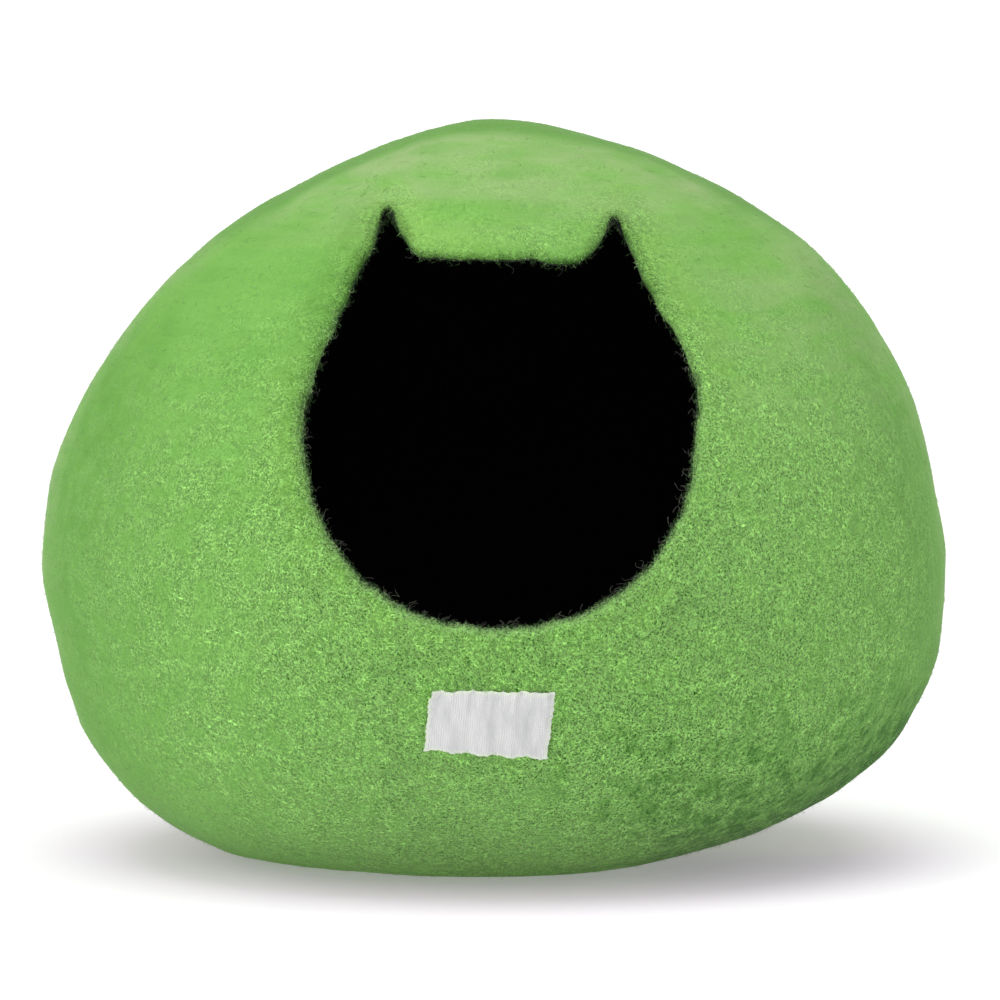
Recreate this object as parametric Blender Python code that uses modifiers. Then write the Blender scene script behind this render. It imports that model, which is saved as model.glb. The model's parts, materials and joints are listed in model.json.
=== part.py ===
"""Felted wool cat cave: one seamless shell with a cat-ear mouth, and a woven label sewn on its front.

The shell is wet-felted over a form, so it has no seams: a squashed, slightly lopsided dome whose belly
is pressed flat where it stands. The mouth faces -Y. The origin is on the floor, under the middle of the
shell's box. Lengths are in metres unless a table says otherwise, with +Z up.
"""

import math

import bpy
import numpy as np

MM = 0.001

# The shell.
WALL = 8.0 * MM                  # thickness of the felt
RIM_ROUND = 3.4 * MM             # radius of the mouth's felted edge, outside and inside
RIM_SEGMENTS = 3
RIM_ANGLE = 62.0                 # degrees: only the mouth's edge is sharper, so only it is rounded
CORE_HEIGHT = 170.0 * MM         # height of the point that the shell's rings are spread around
PRESS = 7.0 * MM                 # how softly the belly turns onto the floor

# Level sections of the shell from its belly to its top, in millimetres: how far each one reaches to the
# left (-X), right (+X), front (-Y) and back (+Y). Heights under 0 belong to the belly as it was before
# the floor pressed it flat.
SECTIONS = (
    # height, left, right, front, back
    (-16.0, 0.0, 0.0, 0.0, 0.0),
    (-9.0, 84.0, 38.0, 66.0, 76.0),
    (0.0, 130.0, 82.0, 108.0, 116.0),
    (8.0, 150.5, 113.0, 136.0, 141.0),
    (20.0, 169.5, 147.5, 163.0, 165.0),
    (40.0, 191.0, 183.5, 190.5, 190.0),
    (70.0, 211.5, 211.0, 211.0, 210.0),
    (110.0, 223.5, 229.0, 220.5, 220.5),
    (150.0, 231.0, 231.0, 220.0, 221.5),
    (190.0, 226.5, 225.5, 209.0, 217.0),
    (230.0, 212.0, 215.5, 192.5, 204.0),
    (270.0, 187.0, 195.0, 168.0, 181.0),
    (310.0, 149.0, 163.0, 133.0, 145.0),
    (341.0, 103.5, 115.5, 101.0, 105.0),
    (356.0, 74.0, 82.0, 82.0, 78.0),
    (366.5, 47.5, 50.0, 60.0, 54.0),
    (376.0, 0.0, 0.0, 0.0, 0.0),
)
ROUNDNESS = 2.1                  # exponent of a section's outline: 2 is an ellipse
FAR = 500.0 * MM                 # a distance from the core that is past the shell every way
HALVINGS = 40                    # how often the search for the surface halves its stretch
NONE = 1e-12                     # a squared reach too small to matter, above zero

# Soft folds that felting leaves, each along a line across the shell between two directions seen from its
# core. Azimuth 0 is the front and 90 the right, both in degrees; half-width and height in millimetres.
FOLDS = (
    # azimuth, slope, azimuth at the end, slope at the end, half-width, height
    (-50.0, 58.0, 52.0, 56.0, 18.0, 2.5),     # crest over the brow
    (72.0, -24.0, 96.0, -30.0, 22.0, 2.0),    # corner low on the right
    (-100.0, -14.0, -84.0, -36.0, 26.0, 2.0),  # corner low on the left
    (-30.0, -24.0, 34.0, -26.0, 30.0, -1.5),  # hollow below the label
)
FOLD_RADIUS = 200.0              # millimetres from the core at which a fold's half-width is measured

# The mouth seen from the front: a bowl, with a cat's ears and a brow between them over it.
MOUTH_ACROSS = 3.0 * MM          # the mouth's middle lies this far to the right
MOUTH_HEIGHT = 232.0 * MM        # height of the bowl's middle, at its widest
BOWL_HALF = 94.0 * MM            # half the bowl's width
BOWL_DEPTH = 97.5 * MM           # from its middle down to its lowest point
BOWL_ROUNDNESS = 2.2             # exponent of the bowl's outline
BOWL_POINTS = 25

# One ear, in millimetres across from the mouth's middle and up from the bowl's.
EAR_OUTSIDE = (
    # across, up: from the bowl to the ear's tip
    (94.0, 6.0),
    (92.5, 15.0),
    (88.0, 26.5),
    (83.0, 38.0),
    (77.0, 49.0),
    (71.5, 58.0),
    (67.0, 66.0),
    (63.0, 75.0),
    (59.2, 85.0),
)
EAR_TIP = (54.9, 95.0)           # middle of the rounded tip
EAR_TIP_RADIUS = 2.4
EAR_TIP_TURN = (16.0, 154.0)     # degrees round the tip, from its outer side to its inner side
EAR_TIP_POINTS = 5
EAR_INSIDE = (
    # across, up: from the tip to the brow
    (51.9, 90.0),
    (49.2, 84.8),
    (45.4, 79.5),
    (40.5, 75.4),
    (33.5, 73.0),
    (22.0, 72.2),
    (11.0, 72.7),
)
BROW = 73.0                      # height of the brow's middle
EAR_STRETCH = {-1: 1.0, 1: 0.84}  # how tall each ear stands over the brow, for the left and the right

# The loft from the mouth to the middle of the back. Its rings march out from the mouth's edge, easing
# into rounds as they go. Shares are of the way from the mouth to the back.
RINGS = 28
RING_GROWTH = 1.04               # how much wider each ring's step is than the one before
MOVES = 6                        # small moves that take one ring to the next
EASE = 0.36                      # how strongly a move draws each point between its neighbours
ROUND_FROM = 0.1                 # share at which the rings start to turn into even rounds
ROUND_OVER = 0.5                 # share of the way over which they do

# The label, pulled a little out of square where it is sewn: its corners seen from the front.
LABEL_CORNERS = (
    # across, height in millimetres: lower left, lower right, upper right, upper left
    (-33.0, 78.0),
    (25.4, 73.8),
    (29.4, 106.8),
    (-30.0, 108.0),
)
LABEL_THICK = 0.8 * MM
LABEL_GAP = 0.35 * MM            # clearance between the label and the felt
LABEL_COLUMNS = 12
LABEL_ROWS = 7

FELT_COLOUR = (0.225, 0.462, 0.116, 1.0)
FELT_ROUGHNESS = 0.95
LABEL_COLOUR = (0.66, 0.61, 0.65, 1.0)
LABEL_ROUGHNESS = 0.7

COLUMNS = np.array(SECTIONS).T * MM
HEIGHT, LEFT, RIGHT, FRONT, BACK = range(5)
CORE = np.array((0.0, 0.0, CORE_HEIGHT))


def smooth_read(x, places, values):
    """Read a table at x along a cubic curve that never overshoots the table's rows."""
    step = np.diff(places)
    slope = np.diff(values) / step
    product, total = slope[:-1] * slope[1:], slope[:-1] + slope[1:]
    bent = product > 0.0
    tangent = np.zeros(len(places))
    tangent[0], tangent[-1] = slope[0], slope[-1]
    tangent[1:-1][bent] = 2.0 * product[bent] / total[bent]
    row = np.clip(np.searchsorted(places, x) - 1, 0, len(step) - 1)
    t = np.clip((x - places[row]) / step[row], 0.0, 1.0)
    straight = values[row] * (1 + 2 * t) * (1 - t) ** 2 + values[row + 1] * t * t * (3 - 2 * t)
    return straight + step[row] * t * (1 - t) * (tangent[row] * (1 - t) - tangent[row + 1] * t)


def reach(height, column):
    """How far the section at this height reaches. Its square is read, so the top and belly are round."""
    return np.sqrt(np.maximum(smooth_read(height, COLUMNS[HEIGHT], COLUMNS[column] ** 2), NONE))


def is_outside(points):
    """Whether each point lies outside the body as it was before the floor pressed it."""
    x, y, z = points.T
    across = np.abs(x) / np.where(x < 0, reach(z, LEFT), reach(z, RIGHT))
    deep = np.abs(y) / np.where(y < 0, reach(z, FRONT), reach(z, BACK))
    beyond_ends = (z <= COLUMNS[HEIGHT][0]) | (z >= COLUMNS[HEIGHT][-1])
    return beyond_ends | (across ** ROUNDNESS + deep ** ROUNDNESS > 1.0)


def unit(vectors):
    """The vectors at length 1."""
    return vectors / np.linalg.norm(vectors, axis=-1, keepdims=True)


def direction(azimuth, slope):
    """The unit vector that points this way from the core, in degrees."""
    a, s = math.radians(azimuth), math.radians(slope)
    return np.array((math.sin(a) * math.cos(s), -math.cos(a) * math.cos(s), math.sin(s)))


def fold_height(ways):
    """What the folds add along each of these unit vectors, in metres."""
    total = np.zeros(len(ways))
    for azimuth, slope, azimuth_end, slope_end, half_width, height in FOLDS:
        start = direction(azimuth, slope)
        run = direction(azimuth_end, slope_end) - start
        share = np.clip((ways - start) @ run / (run @ run), 0.0, 1.0)
        away = np.linalg.norm(ways - unit(start + share[:, None] * run), axis=1)
        total += height * MM * np.exp(-((away * FOLD_RADIUS / half_width) ** 2))
    return total


def press(points):
    """The points with the belly laid flat on the floor, which it meets in a soft turn."""
    t = np.clip((points[:, 2] + PRESS) / (2 * PRESS), 0.0, 1.0)
    pressed = points.copy()
    pressed[:, 2] = np.where(points[:, 2] < PRESS, PRESS * t * t, points[:, 2])
    return pressed


def on_surface(ways):
    """The shell's outer surface along each of these unit vectors from the core."""
    near, far = np.zeros(len(ways)), np.full(len(ways), FAR)
    for _ in range(HALVINGS):
        middle = (near + far) / 2
        beyond = is_outside(CORE + middle[:, None] * ways)
        near, far = np.where(beyond, near, middle), np.where(beyond, middle, far)
    return press(CORE + (near + fold_height(ways))[:, None] * ways)


def ways_to_front(across, height):
    """The unit vectors from the core to these places on the shell's front."""
    side = np.where(across < 0, reach(height, LEFT), reach(height, RIGHT))
    level = 1.0 - (np.abs(across) / side) ** ROUNDNESS
    front = -reach(height, FRONT) * level ** (1.0 / ROUNDNESS)
    return unit(np.stack((across, front, height), axis=-1) - CORE)


def ear_line(side):
    """One ear's edge from the bowl over the tip to the brow; side is -1 for the left, 1 for the right."""
    turns = np.radians(np.linspace(*EAR_TIP_TURN, EAR_TIP_POINTS))
    tip = np.array(EAR_TIP) + EAR_TIP_RADIUS * np.stack((np.cos(turns), np.sin(turns)), axis=1)
    line = np.concatenate((EAR_OUTSIDE, tip, EAR_INSIDE))
    over_brow = line[:, 1] > BROW
    line[over_brow, 1] = BROW + (line[over_brow, 1] - BROW) * EAR_STRETCH[side]
    return line * (side * MM, MM)


def bowl_line():
    """The bowl's edge from its left end round its lowest point to its right end."""
    turns = np.linspace(math.pi, 2 * math.pi, BOWL_POINTS)
    power = 2.0 / BOWL_ROUNDNESS
    across = BOWL_HALF * np.sign(np.cos(turns)) * np.abs(np.cos(turns)) ** power
    return np.stack((across, -BOWL_DEPTH * np.abs(np.sin(turns)) ** power), axis=1)


def mouth_line():
    """The mouth's whole edge seen from the front, from the brow's middle to the left and round."""
    brow = np.array(((0.0, BROW * MM),))
    line = np.concatenate((brow, ear_line(-1)[::-1], bowl_line(), ear_line(1)))
    return line + (MOUTH_ACROSS, MOUTH_HEIGHT)


def neighbours(ring):
    """The point before and the point after each of a closed ring's points."""
    return np.roll(ring, 1, axis=0), np.roll(ring, -1, axis=0)


def march(ring, distance):
    """A flat ring moved out by this distance in small moves, each eased towards evenly spread points."""
    for _ in range(MOVES):
        before, after = neighbours(ring)
        along = unit(after - before)
        ring = ring + distance / MOVES * np.stack((along[:, 1], -along[:, 0]), axis=1)
        before, after = neighbours(ring)
        ring = ring + EASE * ((before + after) / 2 - ring)
    return ring


def polar(flat):
    """The distance and the turn from upright of each flat point."""
    return np.linalg.norm(flat, axis=1), np.unwrap(np.arctan2(flat[:, 0], flat[:, 1]))


def from_polar(distance, turn):
    """Flat points from their distances and turns."""
    return distance[:, None] * np.stack((np.sin(turn), np.cos(turn)), axis=1)


def loft_rings():
    """The points of each ring from the mouth's edge to the back, and the point that closes the back.

    The rings are laid out on a flat chart in which a point's distance from the middle is its angle from
    the axis through the mouth, so that the mouth lies inside every ring and the back is a circle of pi.
    """
    line = mouth_line()
    edge = ways_to_front(line[:, 0], line[:, 1])
    axis = ways_to_front(*np.array(((MOUTH_ACROSS,), (MOUTH_HEIGHT,))))[0]
    right = unit(np.cross((0.0, 0.0, 1.0), axis))
    up = np.cross(axis, right)
    angle, turn = np.arccos(edge @ axis), np.unwrap(np.arctan2(edge @ right, edge @ up))
    mean = angle.mean()
    even = turn[0] - 2 * math.pi * np.arange(len(turn)) / len(turn)
    steps = RING_GROWTH ** np.arange(RINGS)
    shares = np.cumsum(steps) / steps.sum()
    ring, rings, done = from_polar(angle, turn), [on_surface(edge)], 0.0
    for share in shares[:-1]:
        ring = march(ring, (share - done) * (math.pi - mean))
        angle, turn = polar(ring)
        t = min(max((share - ROUND_FROM) / ROUND_OVER, 0.0), 1.0)
        rounding = t * t * (3 - 2 * t)
        angle = angle + rounding * (mean + (math.pi - mean) * share - angle)
        turn = turn + rounding * (even - turn)
        ring, done = from_polar(angle, turn), share
        sideways = np.sin(turn)[:, None] * right + np.cos(turn)[:, None] * up
        rings.append(on_surface(np.cos(angle)[:, None] * axis + np.sin(angle)[:, None] * sideways))
    return rings, on_surface(-axis[None, :])[0]


def ring_faces(rings, around):
    """Faces that join each ring to the next, and the last one to the single point after it."""
    faces = []
    for ring in range(rings - 1):
        for step in range(around):
            a, b = ring * around + step, ring * around + (step + 1) % around
            faces.append((a, a + around, b + around, b))
    last, tip = (rings - 1) * around, rings * around
    faces += [(last + step, tip, last + (step + 1) % around) for step in range(around)]
    return faces


def new_object(name, points, faces, collection, material):
    """A mesh object of these points and faces, shaded smooth."""
    mesh = bpy.data.meshes.new(name)
    mesh.from_pydata([tuple(p) for p in points], [], faces)
    mesh.shade_smooth()
    mesh.materials.append(material)
    made = bpy.data.objects.new(name, mesh)
    collection.objects.link(made)
    return made


def new_material(name, colour, roughness):
    """A plain material with this colour and roughness."""
    material = bpy.data.materials.new(name)
    material.use_nodes = True
    shader = material.node_tree.nodes["Principled BSDF"]
    shader.inputs["Base Color"].default_value = colour
    shader.inputs["Roughness"].default_value = roughness
    shader.inputs["Metallic"].default_value = 0.0
    return material


def add_wall(made, thickness, offset):
    """Give an open surface its thickness, inwards with an offset of -1 and outwards with 1."""
    wall = made.modifiers.new("wall", "SOLIDIFY")
    wall.thickness = thickness
    wall.offset = offset
    wall.use_even_offset = True
    wall.use_quality_normals = True


def build_shell(collection):
    """The felt shell: a loft from the mouth to the back, thickened inwards, its edge rounded."""
    rings, back = loft_rings()
    points = np.concatenate((*rings, back[None, :]))
    felt = new_material("green_felt", FELT_COLOUR, FELT_ROUGHNESS)
    shell = new_object("felt_shell", points, ring_faces(len(rings), len(rings[0])), collection, felt)
    add_wall(shell, WALL, -1.0)
    rim = shell.modifiers.new("rounded_rim", "BEVEL")
    rim.width = RIM_ROUND
    rim.segments = RIM_SEGMENTS
    rim.limit_method = "ANGLE"
    rim.angle_limit = math.radians(RIM_ANGLE)
    return shell


def label_places():
    """Where the label's grid points are seen from the front, a row at a time from the bottom."""
    lower_left, lower_right, upper_right, upper_left = np.array(LABEL_CORNERS) * MM
    u = np.linspace(0.0, 1.0, LABEL_COLUMNS + 1)[None, :, None]
    v = np.linspace(0.0, 1.0, LABEL_ROWS + 1)[:, None, None]
    lower = lower_left + u * (lower_right - lower_left)
    upper = upper_left + u * (upper_right - upper_left)
    return (lower + v * (upper - lower)).reshape(-1, 2).T


def build_label(collection):
    """The woven label: a thin patch that follows the felt under it."""
    ways = ways_to_front(*label_places())
    wide = LABEL_COLUMNS + 1
    firsts = [row * wide + column for row in range(LABEL_ROWS) for column in range(LABEL_COLUMNS)]
    faces = [(first, first + 1, first + wide + 1, first + wide) for first in firsts]
    weave = new_material("woven_label", LABEL_COLOUR, LABEL_ROUGHNESS)
    label = new_object("label", on_surface(ways) + LABEL_GAP * ways, faces, collection, weave)
    add_wall(label, LABEL_THICK, 1.0)
    return label


def main():
    """Clear the scene and build the cave."""
    for old in list(bpy.data.objects):
        bpy.data.objects.remove(old)
    collection = bpy.data.collections.new("felt_cat_cave")
    bpy.context.scene.collection.children.link(collection)
    build_shell(collection)
    build_label(collection)


main()
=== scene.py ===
"""A wet-felted wool cat cave, with a mouth like a cat's head and a bare woven label sewn below it.

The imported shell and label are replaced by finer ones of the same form. The wool's loose fibres, the hairs
round the mouth and the label's stitches are laid by Geometry Nodes and turned into plain meshes.
Lengths are in metres, with +Z up and the mouth facing -Y, unless a name or a table says otherwise.
"""

import itertools
import json
import logging
import math
from collections.abc import Callable
from dataclasses import dataclass
from enum import Enum
from functools import partial

import bpy
import numpy as np
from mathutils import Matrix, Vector

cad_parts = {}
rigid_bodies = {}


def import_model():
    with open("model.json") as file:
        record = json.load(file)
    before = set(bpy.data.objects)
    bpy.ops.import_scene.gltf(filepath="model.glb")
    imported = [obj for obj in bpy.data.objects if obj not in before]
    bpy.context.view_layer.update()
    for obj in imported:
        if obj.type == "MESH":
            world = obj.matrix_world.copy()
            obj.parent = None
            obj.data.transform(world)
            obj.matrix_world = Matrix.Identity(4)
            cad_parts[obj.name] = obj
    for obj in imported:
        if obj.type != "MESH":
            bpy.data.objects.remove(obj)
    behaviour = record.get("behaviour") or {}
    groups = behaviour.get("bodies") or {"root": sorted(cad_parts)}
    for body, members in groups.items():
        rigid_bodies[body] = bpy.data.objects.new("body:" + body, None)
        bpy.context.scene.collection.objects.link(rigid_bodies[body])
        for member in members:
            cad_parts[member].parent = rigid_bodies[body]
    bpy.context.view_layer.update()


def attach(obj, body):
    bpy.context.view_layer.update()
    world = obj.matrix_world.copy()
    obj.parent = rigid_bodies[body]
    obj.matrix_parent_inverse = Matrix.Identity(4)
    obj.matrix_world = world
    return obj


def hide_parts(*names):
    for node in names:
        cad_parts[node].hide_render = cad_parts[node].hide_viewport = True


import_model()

MM = 0.001
BODY = "root"
LOG = logging.getLogger("cat_cave")
WHITE = (1.0, 1.0, 1.0, 1.0)

Array = np.ndarray
Socket = bpy.types.NodeSocket
Tree = bpy.types.NodeTree
Adder = Callable[..., Socket]
Tint = tuple[str, float]
Pairs = tuple[tuple[float, float], ...]
Waves = tuple[tuple[float, ...], ...]


# ---------------------------------------------------------------- small helpers


def unit(vectors: Array) -> Array:
    """Return the vectors at length 1."""
    return vectors / np.linalg.norm(vectors, axis=-1, keepdims=True)


def ease(value: Array, start: float, end: float) -> Array:
    """Turn a value into a soft step from 0 at start to 1 at end."""
    t = np.clip((value - start) / (end - start), 0.0, 1.0)
    return t * t * (3 - 2 * t)


def tangents(ring: Array) -> Array:
    """Return the unit directions along a closed ring of points."""
    return unit(np.roll(ring, -1, axis=0) - np.roll(ring, 1, axis=0))


def linear(hex_colour: str) -> tuple[float, float, float, float]:
    """Turn an sRGB hex colour into the linear colour that a shader takes.

    Args:
        hex_colour: six hex digits, such as "7fb65e".

    Returns:
        Red, green, blue and an alpha of 1.
    """
    parts = [int(hex_colour[i : i + 2], 16) / 255 for i in (0, 2, 4)]
    red, green, blue = (p / 12.92 if p <= 0.04045 else ((p + 0.055) / 1.055) ** 2.4 for p in parts)
    return red, green, blue, 1.0


def add_node(
    tree: Tree, kind: str, inputs: dict | None = None, out: int | str = 0, **settings: object
) -> Socket | None:
    """Add a node with its settings, and set or link its inputs.

    Args:
        tree: the node tree to add to.
        kind: the node's type, where a shader node's goes without ShaderNode before it.
        inputs: by name or number, a value or the output socket to link.
        out: the output that is wanted, by name or number.
        settings: the node's own properties.

    Returns:
        The wanted output socket, or nothing for a node without one.
    """
    node = tree.nodes.new(kind if "Node" in kind else f"ShaderNode{kind}")
    for name, value in settings.items():
        setattr(node, name, value)
    for name, value in (inputs or {}).items():
        if isinstance(value, Socket):
            tree.links.new(value, node.inputs[name])
        else:
            node.inputs[name].default_value = value
    return node.outputs[out] if node.outputs else None


def new_material(name: str) -> tuple[bpy.types.Material, Adder]:
    """Make a material with an empty node tree.

    Args:
        name: the material's name.

    Returns:
        The material, and a function that adds a node to its tree.
    """
    made = bpy.data.materials.new(name)
    made.use_nodes = True
    made.node_tree.nodes.clear()
    return made, partial(add_node, made.node_tree)


def dressed(made: bpy.types.Material, surface: dict[str, object]) -> bpy.types.Material:
    """Give a material its surface.

    Args:
        made: the material.
        surface: the shader's sockets by name, with a value or a socket for each.

    Returns:
        The same material.
    """
    shader = add_node(made.node_tree, "BsdfPrincipled", surface)
    add_node(made.node_tree, "OutputMaterial", {"Surface": shader})
    return made


def link_object(name: str, mesh: bpy.types.Mesh) -> bpy.types.Object:
    """Put a mesh in the scene as an object at the origin.

    Args:
        name: the object's name.
        mesh: its mesh.

    Returns:
        The new object.
    """
    made = bpy.data.objects.new(name, mesh)
    bpy.context.scene.collection.objects.link(made)
    return made


def mesh_object(name: str, points: Array, faces: list, *finishes: bpy.types.Material) -> bpy.types.Object:
    """Make a smooth-shaded mesh object at the origin and link it to the scene.

    Args:
        name: the object's name.
        points: its vertices.
        faces: its faces as tuples of vertex numbers.
        finishes: its materials, if it has them yet.

    Returns:
        The new object.
    """
    mesh = bpy.data.meshes.new(name)
    mesh.from_pydata(np.asarray(points, float).tolist(), [], faces)
    mesh.shade_smooth()
    for finish in finishes:
        mesh.materials.append(finish)
    return link_object(name, mesh)


def store(made: bpy.types.Object, name: str, values: Array) -> None:
    """Store an attribute on a mesh's vertices.

    Args:
        made: the mesh object.
        name: the attribute's name.
        values: a number or a vector for each vertex.
    """
    vector = values.ndim == 2
    layer = made.data.attributes.new(name, "FLOAT_VECTOR" if vector else "FLOAT", "POINT")
    layer.data.foreach_set("vector" if vector else "value", values.astype(np.float32).ravel())


def evaluated_mesh(made: bpy.types.Object, tree: Tree, inputs: dict[str, object]) -> bpy.types.Mesh:
    """Run a Geometry Nodes tree on an object and return what it makes as a plain mesh.

    Args:
        made: the object, which is left without the modifier.
        tree: the node tree.
        inputs: the tree's inputs by name.

    Returns:
        The new mesh, without what the tree read from the object.
    """
    modifier = made.modifiers.new(tree.name, "NODES")
    modifier.node_group = tree
    for item in tree.interface.items_tree:
        if item.in_out == "INPUT" and item.name in inputs:
            modifier[item.identifier] = inputs[item.name]
    mesh = bpy.data.meshes.new_from_object(made.evaluated_get(bpy.context.evaluated_depsgraph_get()))
    made.modifiers.remove(modifier)
    for name in ("comb", "coat", "upright"):
        if name in mesh.attributes:
            mesh.attributes.remove(mesh.attributes[name])
    return mesh


def bands(rings: int, around: int) -> list[tuple[int, int, int, int]]:
    """Join each closed ring of points to the next.

    Args:
        rings: how many rings there are.
        around: how many points each has.

    Returns:
        The faces, which face out where rings spread from the mouth.
    """
    faces = []
    for ring, step in itertools.product(range(rings - 1), range(around)):
        a, b = ring * around + step, ring * around + (step + 1) % around
        faces.append((a, a + around, b + around, b))
    return faces


def bent(ring: Array, finer: int) -> Array:
    """Put more points into a closed ring, along smooth curves that don't overshoot uneven steps.

    Args:
        ring: the ring's points.
        finer: how many steps one old step becomes.

    Returns:
        The finer ring.
    """
    corners = p0, p1, p2, p3 = [np.roll(ring, shift, axis=0) for shift in (1, 0, -1, -2)]
    runs = (q - p for p, q in itertools.pairwise(corners))
    before, within, after = (np.sqrt(np.linalg.norm(run, axis=1)[:, None]) for run in runs)
    lead = within * ((p1 - p0) / before - (p2 - p0) / (before + within)) + p2 - p1
    tail = within * ((p3 - p2) / after - (p3 - p1) / (within + after)) + p2 - p1
    made = []
    for t in np.arange(finer) / finer:
        straight = p1 + (p2 - p1) * t * t * (3 - 2 * t)
        made.append(straight + t * (1 - t) * (lead * (1 - t) - tail * t))
    return np.stack(made, axis=1).reshape(-1, ring.shape[1])


def waves(x: Array, table: tuple[tuple[float, ...], ...]) -> Array:
    """Sum waves along x.

    Args:
        x: where to read them.
        table: for each, its height, rate, shift and, where it beats, the rate of the beat.

    Returns:
        The sum at each place.
    """
    return sum(
        height * np.sin(x * rate + shift) * (np.sin(x * beat[0]) if beat else 1)
        for height, rate, shift, *beat in table
    )


# ---------------------------------------------------------------- the form


@dataclass(frozen=True)
class Unevenness:
    """The soft lumps that hand felting leaves, as smooth seeded noise."""

    seed: int = 11
    cells: int = 24
    # wavelength and height in millimetres, coarse to fine
    layers: tuple[tuple[float, float], ...] = ((74.0, 1.2), (31.0, 0.55), (13.0, 0.3), (7.0, 0.16))

    def read(self, points: Array) -> Array:
        """Read the height of the lumps at each point.

        Args:
            points: places in metres.

        Returns:
            Heights in metres, above or below zero.
        """
        grid = np.random.default_rng(self.seed).uniform(-1, 1, (self.cells,) * 3)
        total = np.zeros(len(points))
        for wavelength, height in self.layers:
            place = points / (wavelength * MM) + wavelength
            cell = np.floor(place).astype(int)
            t = place - cell
            t = t * t * (3 - 2 * t)
            for corner in itertools.product((0, 1), repeat=3):
                weight = np.prod(np.where(corner, t, 1 - t), axis=1)
                total += height * MM * weight * grid[tuple(((cell + corner) % self.cells).T)]
        return total


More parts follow.
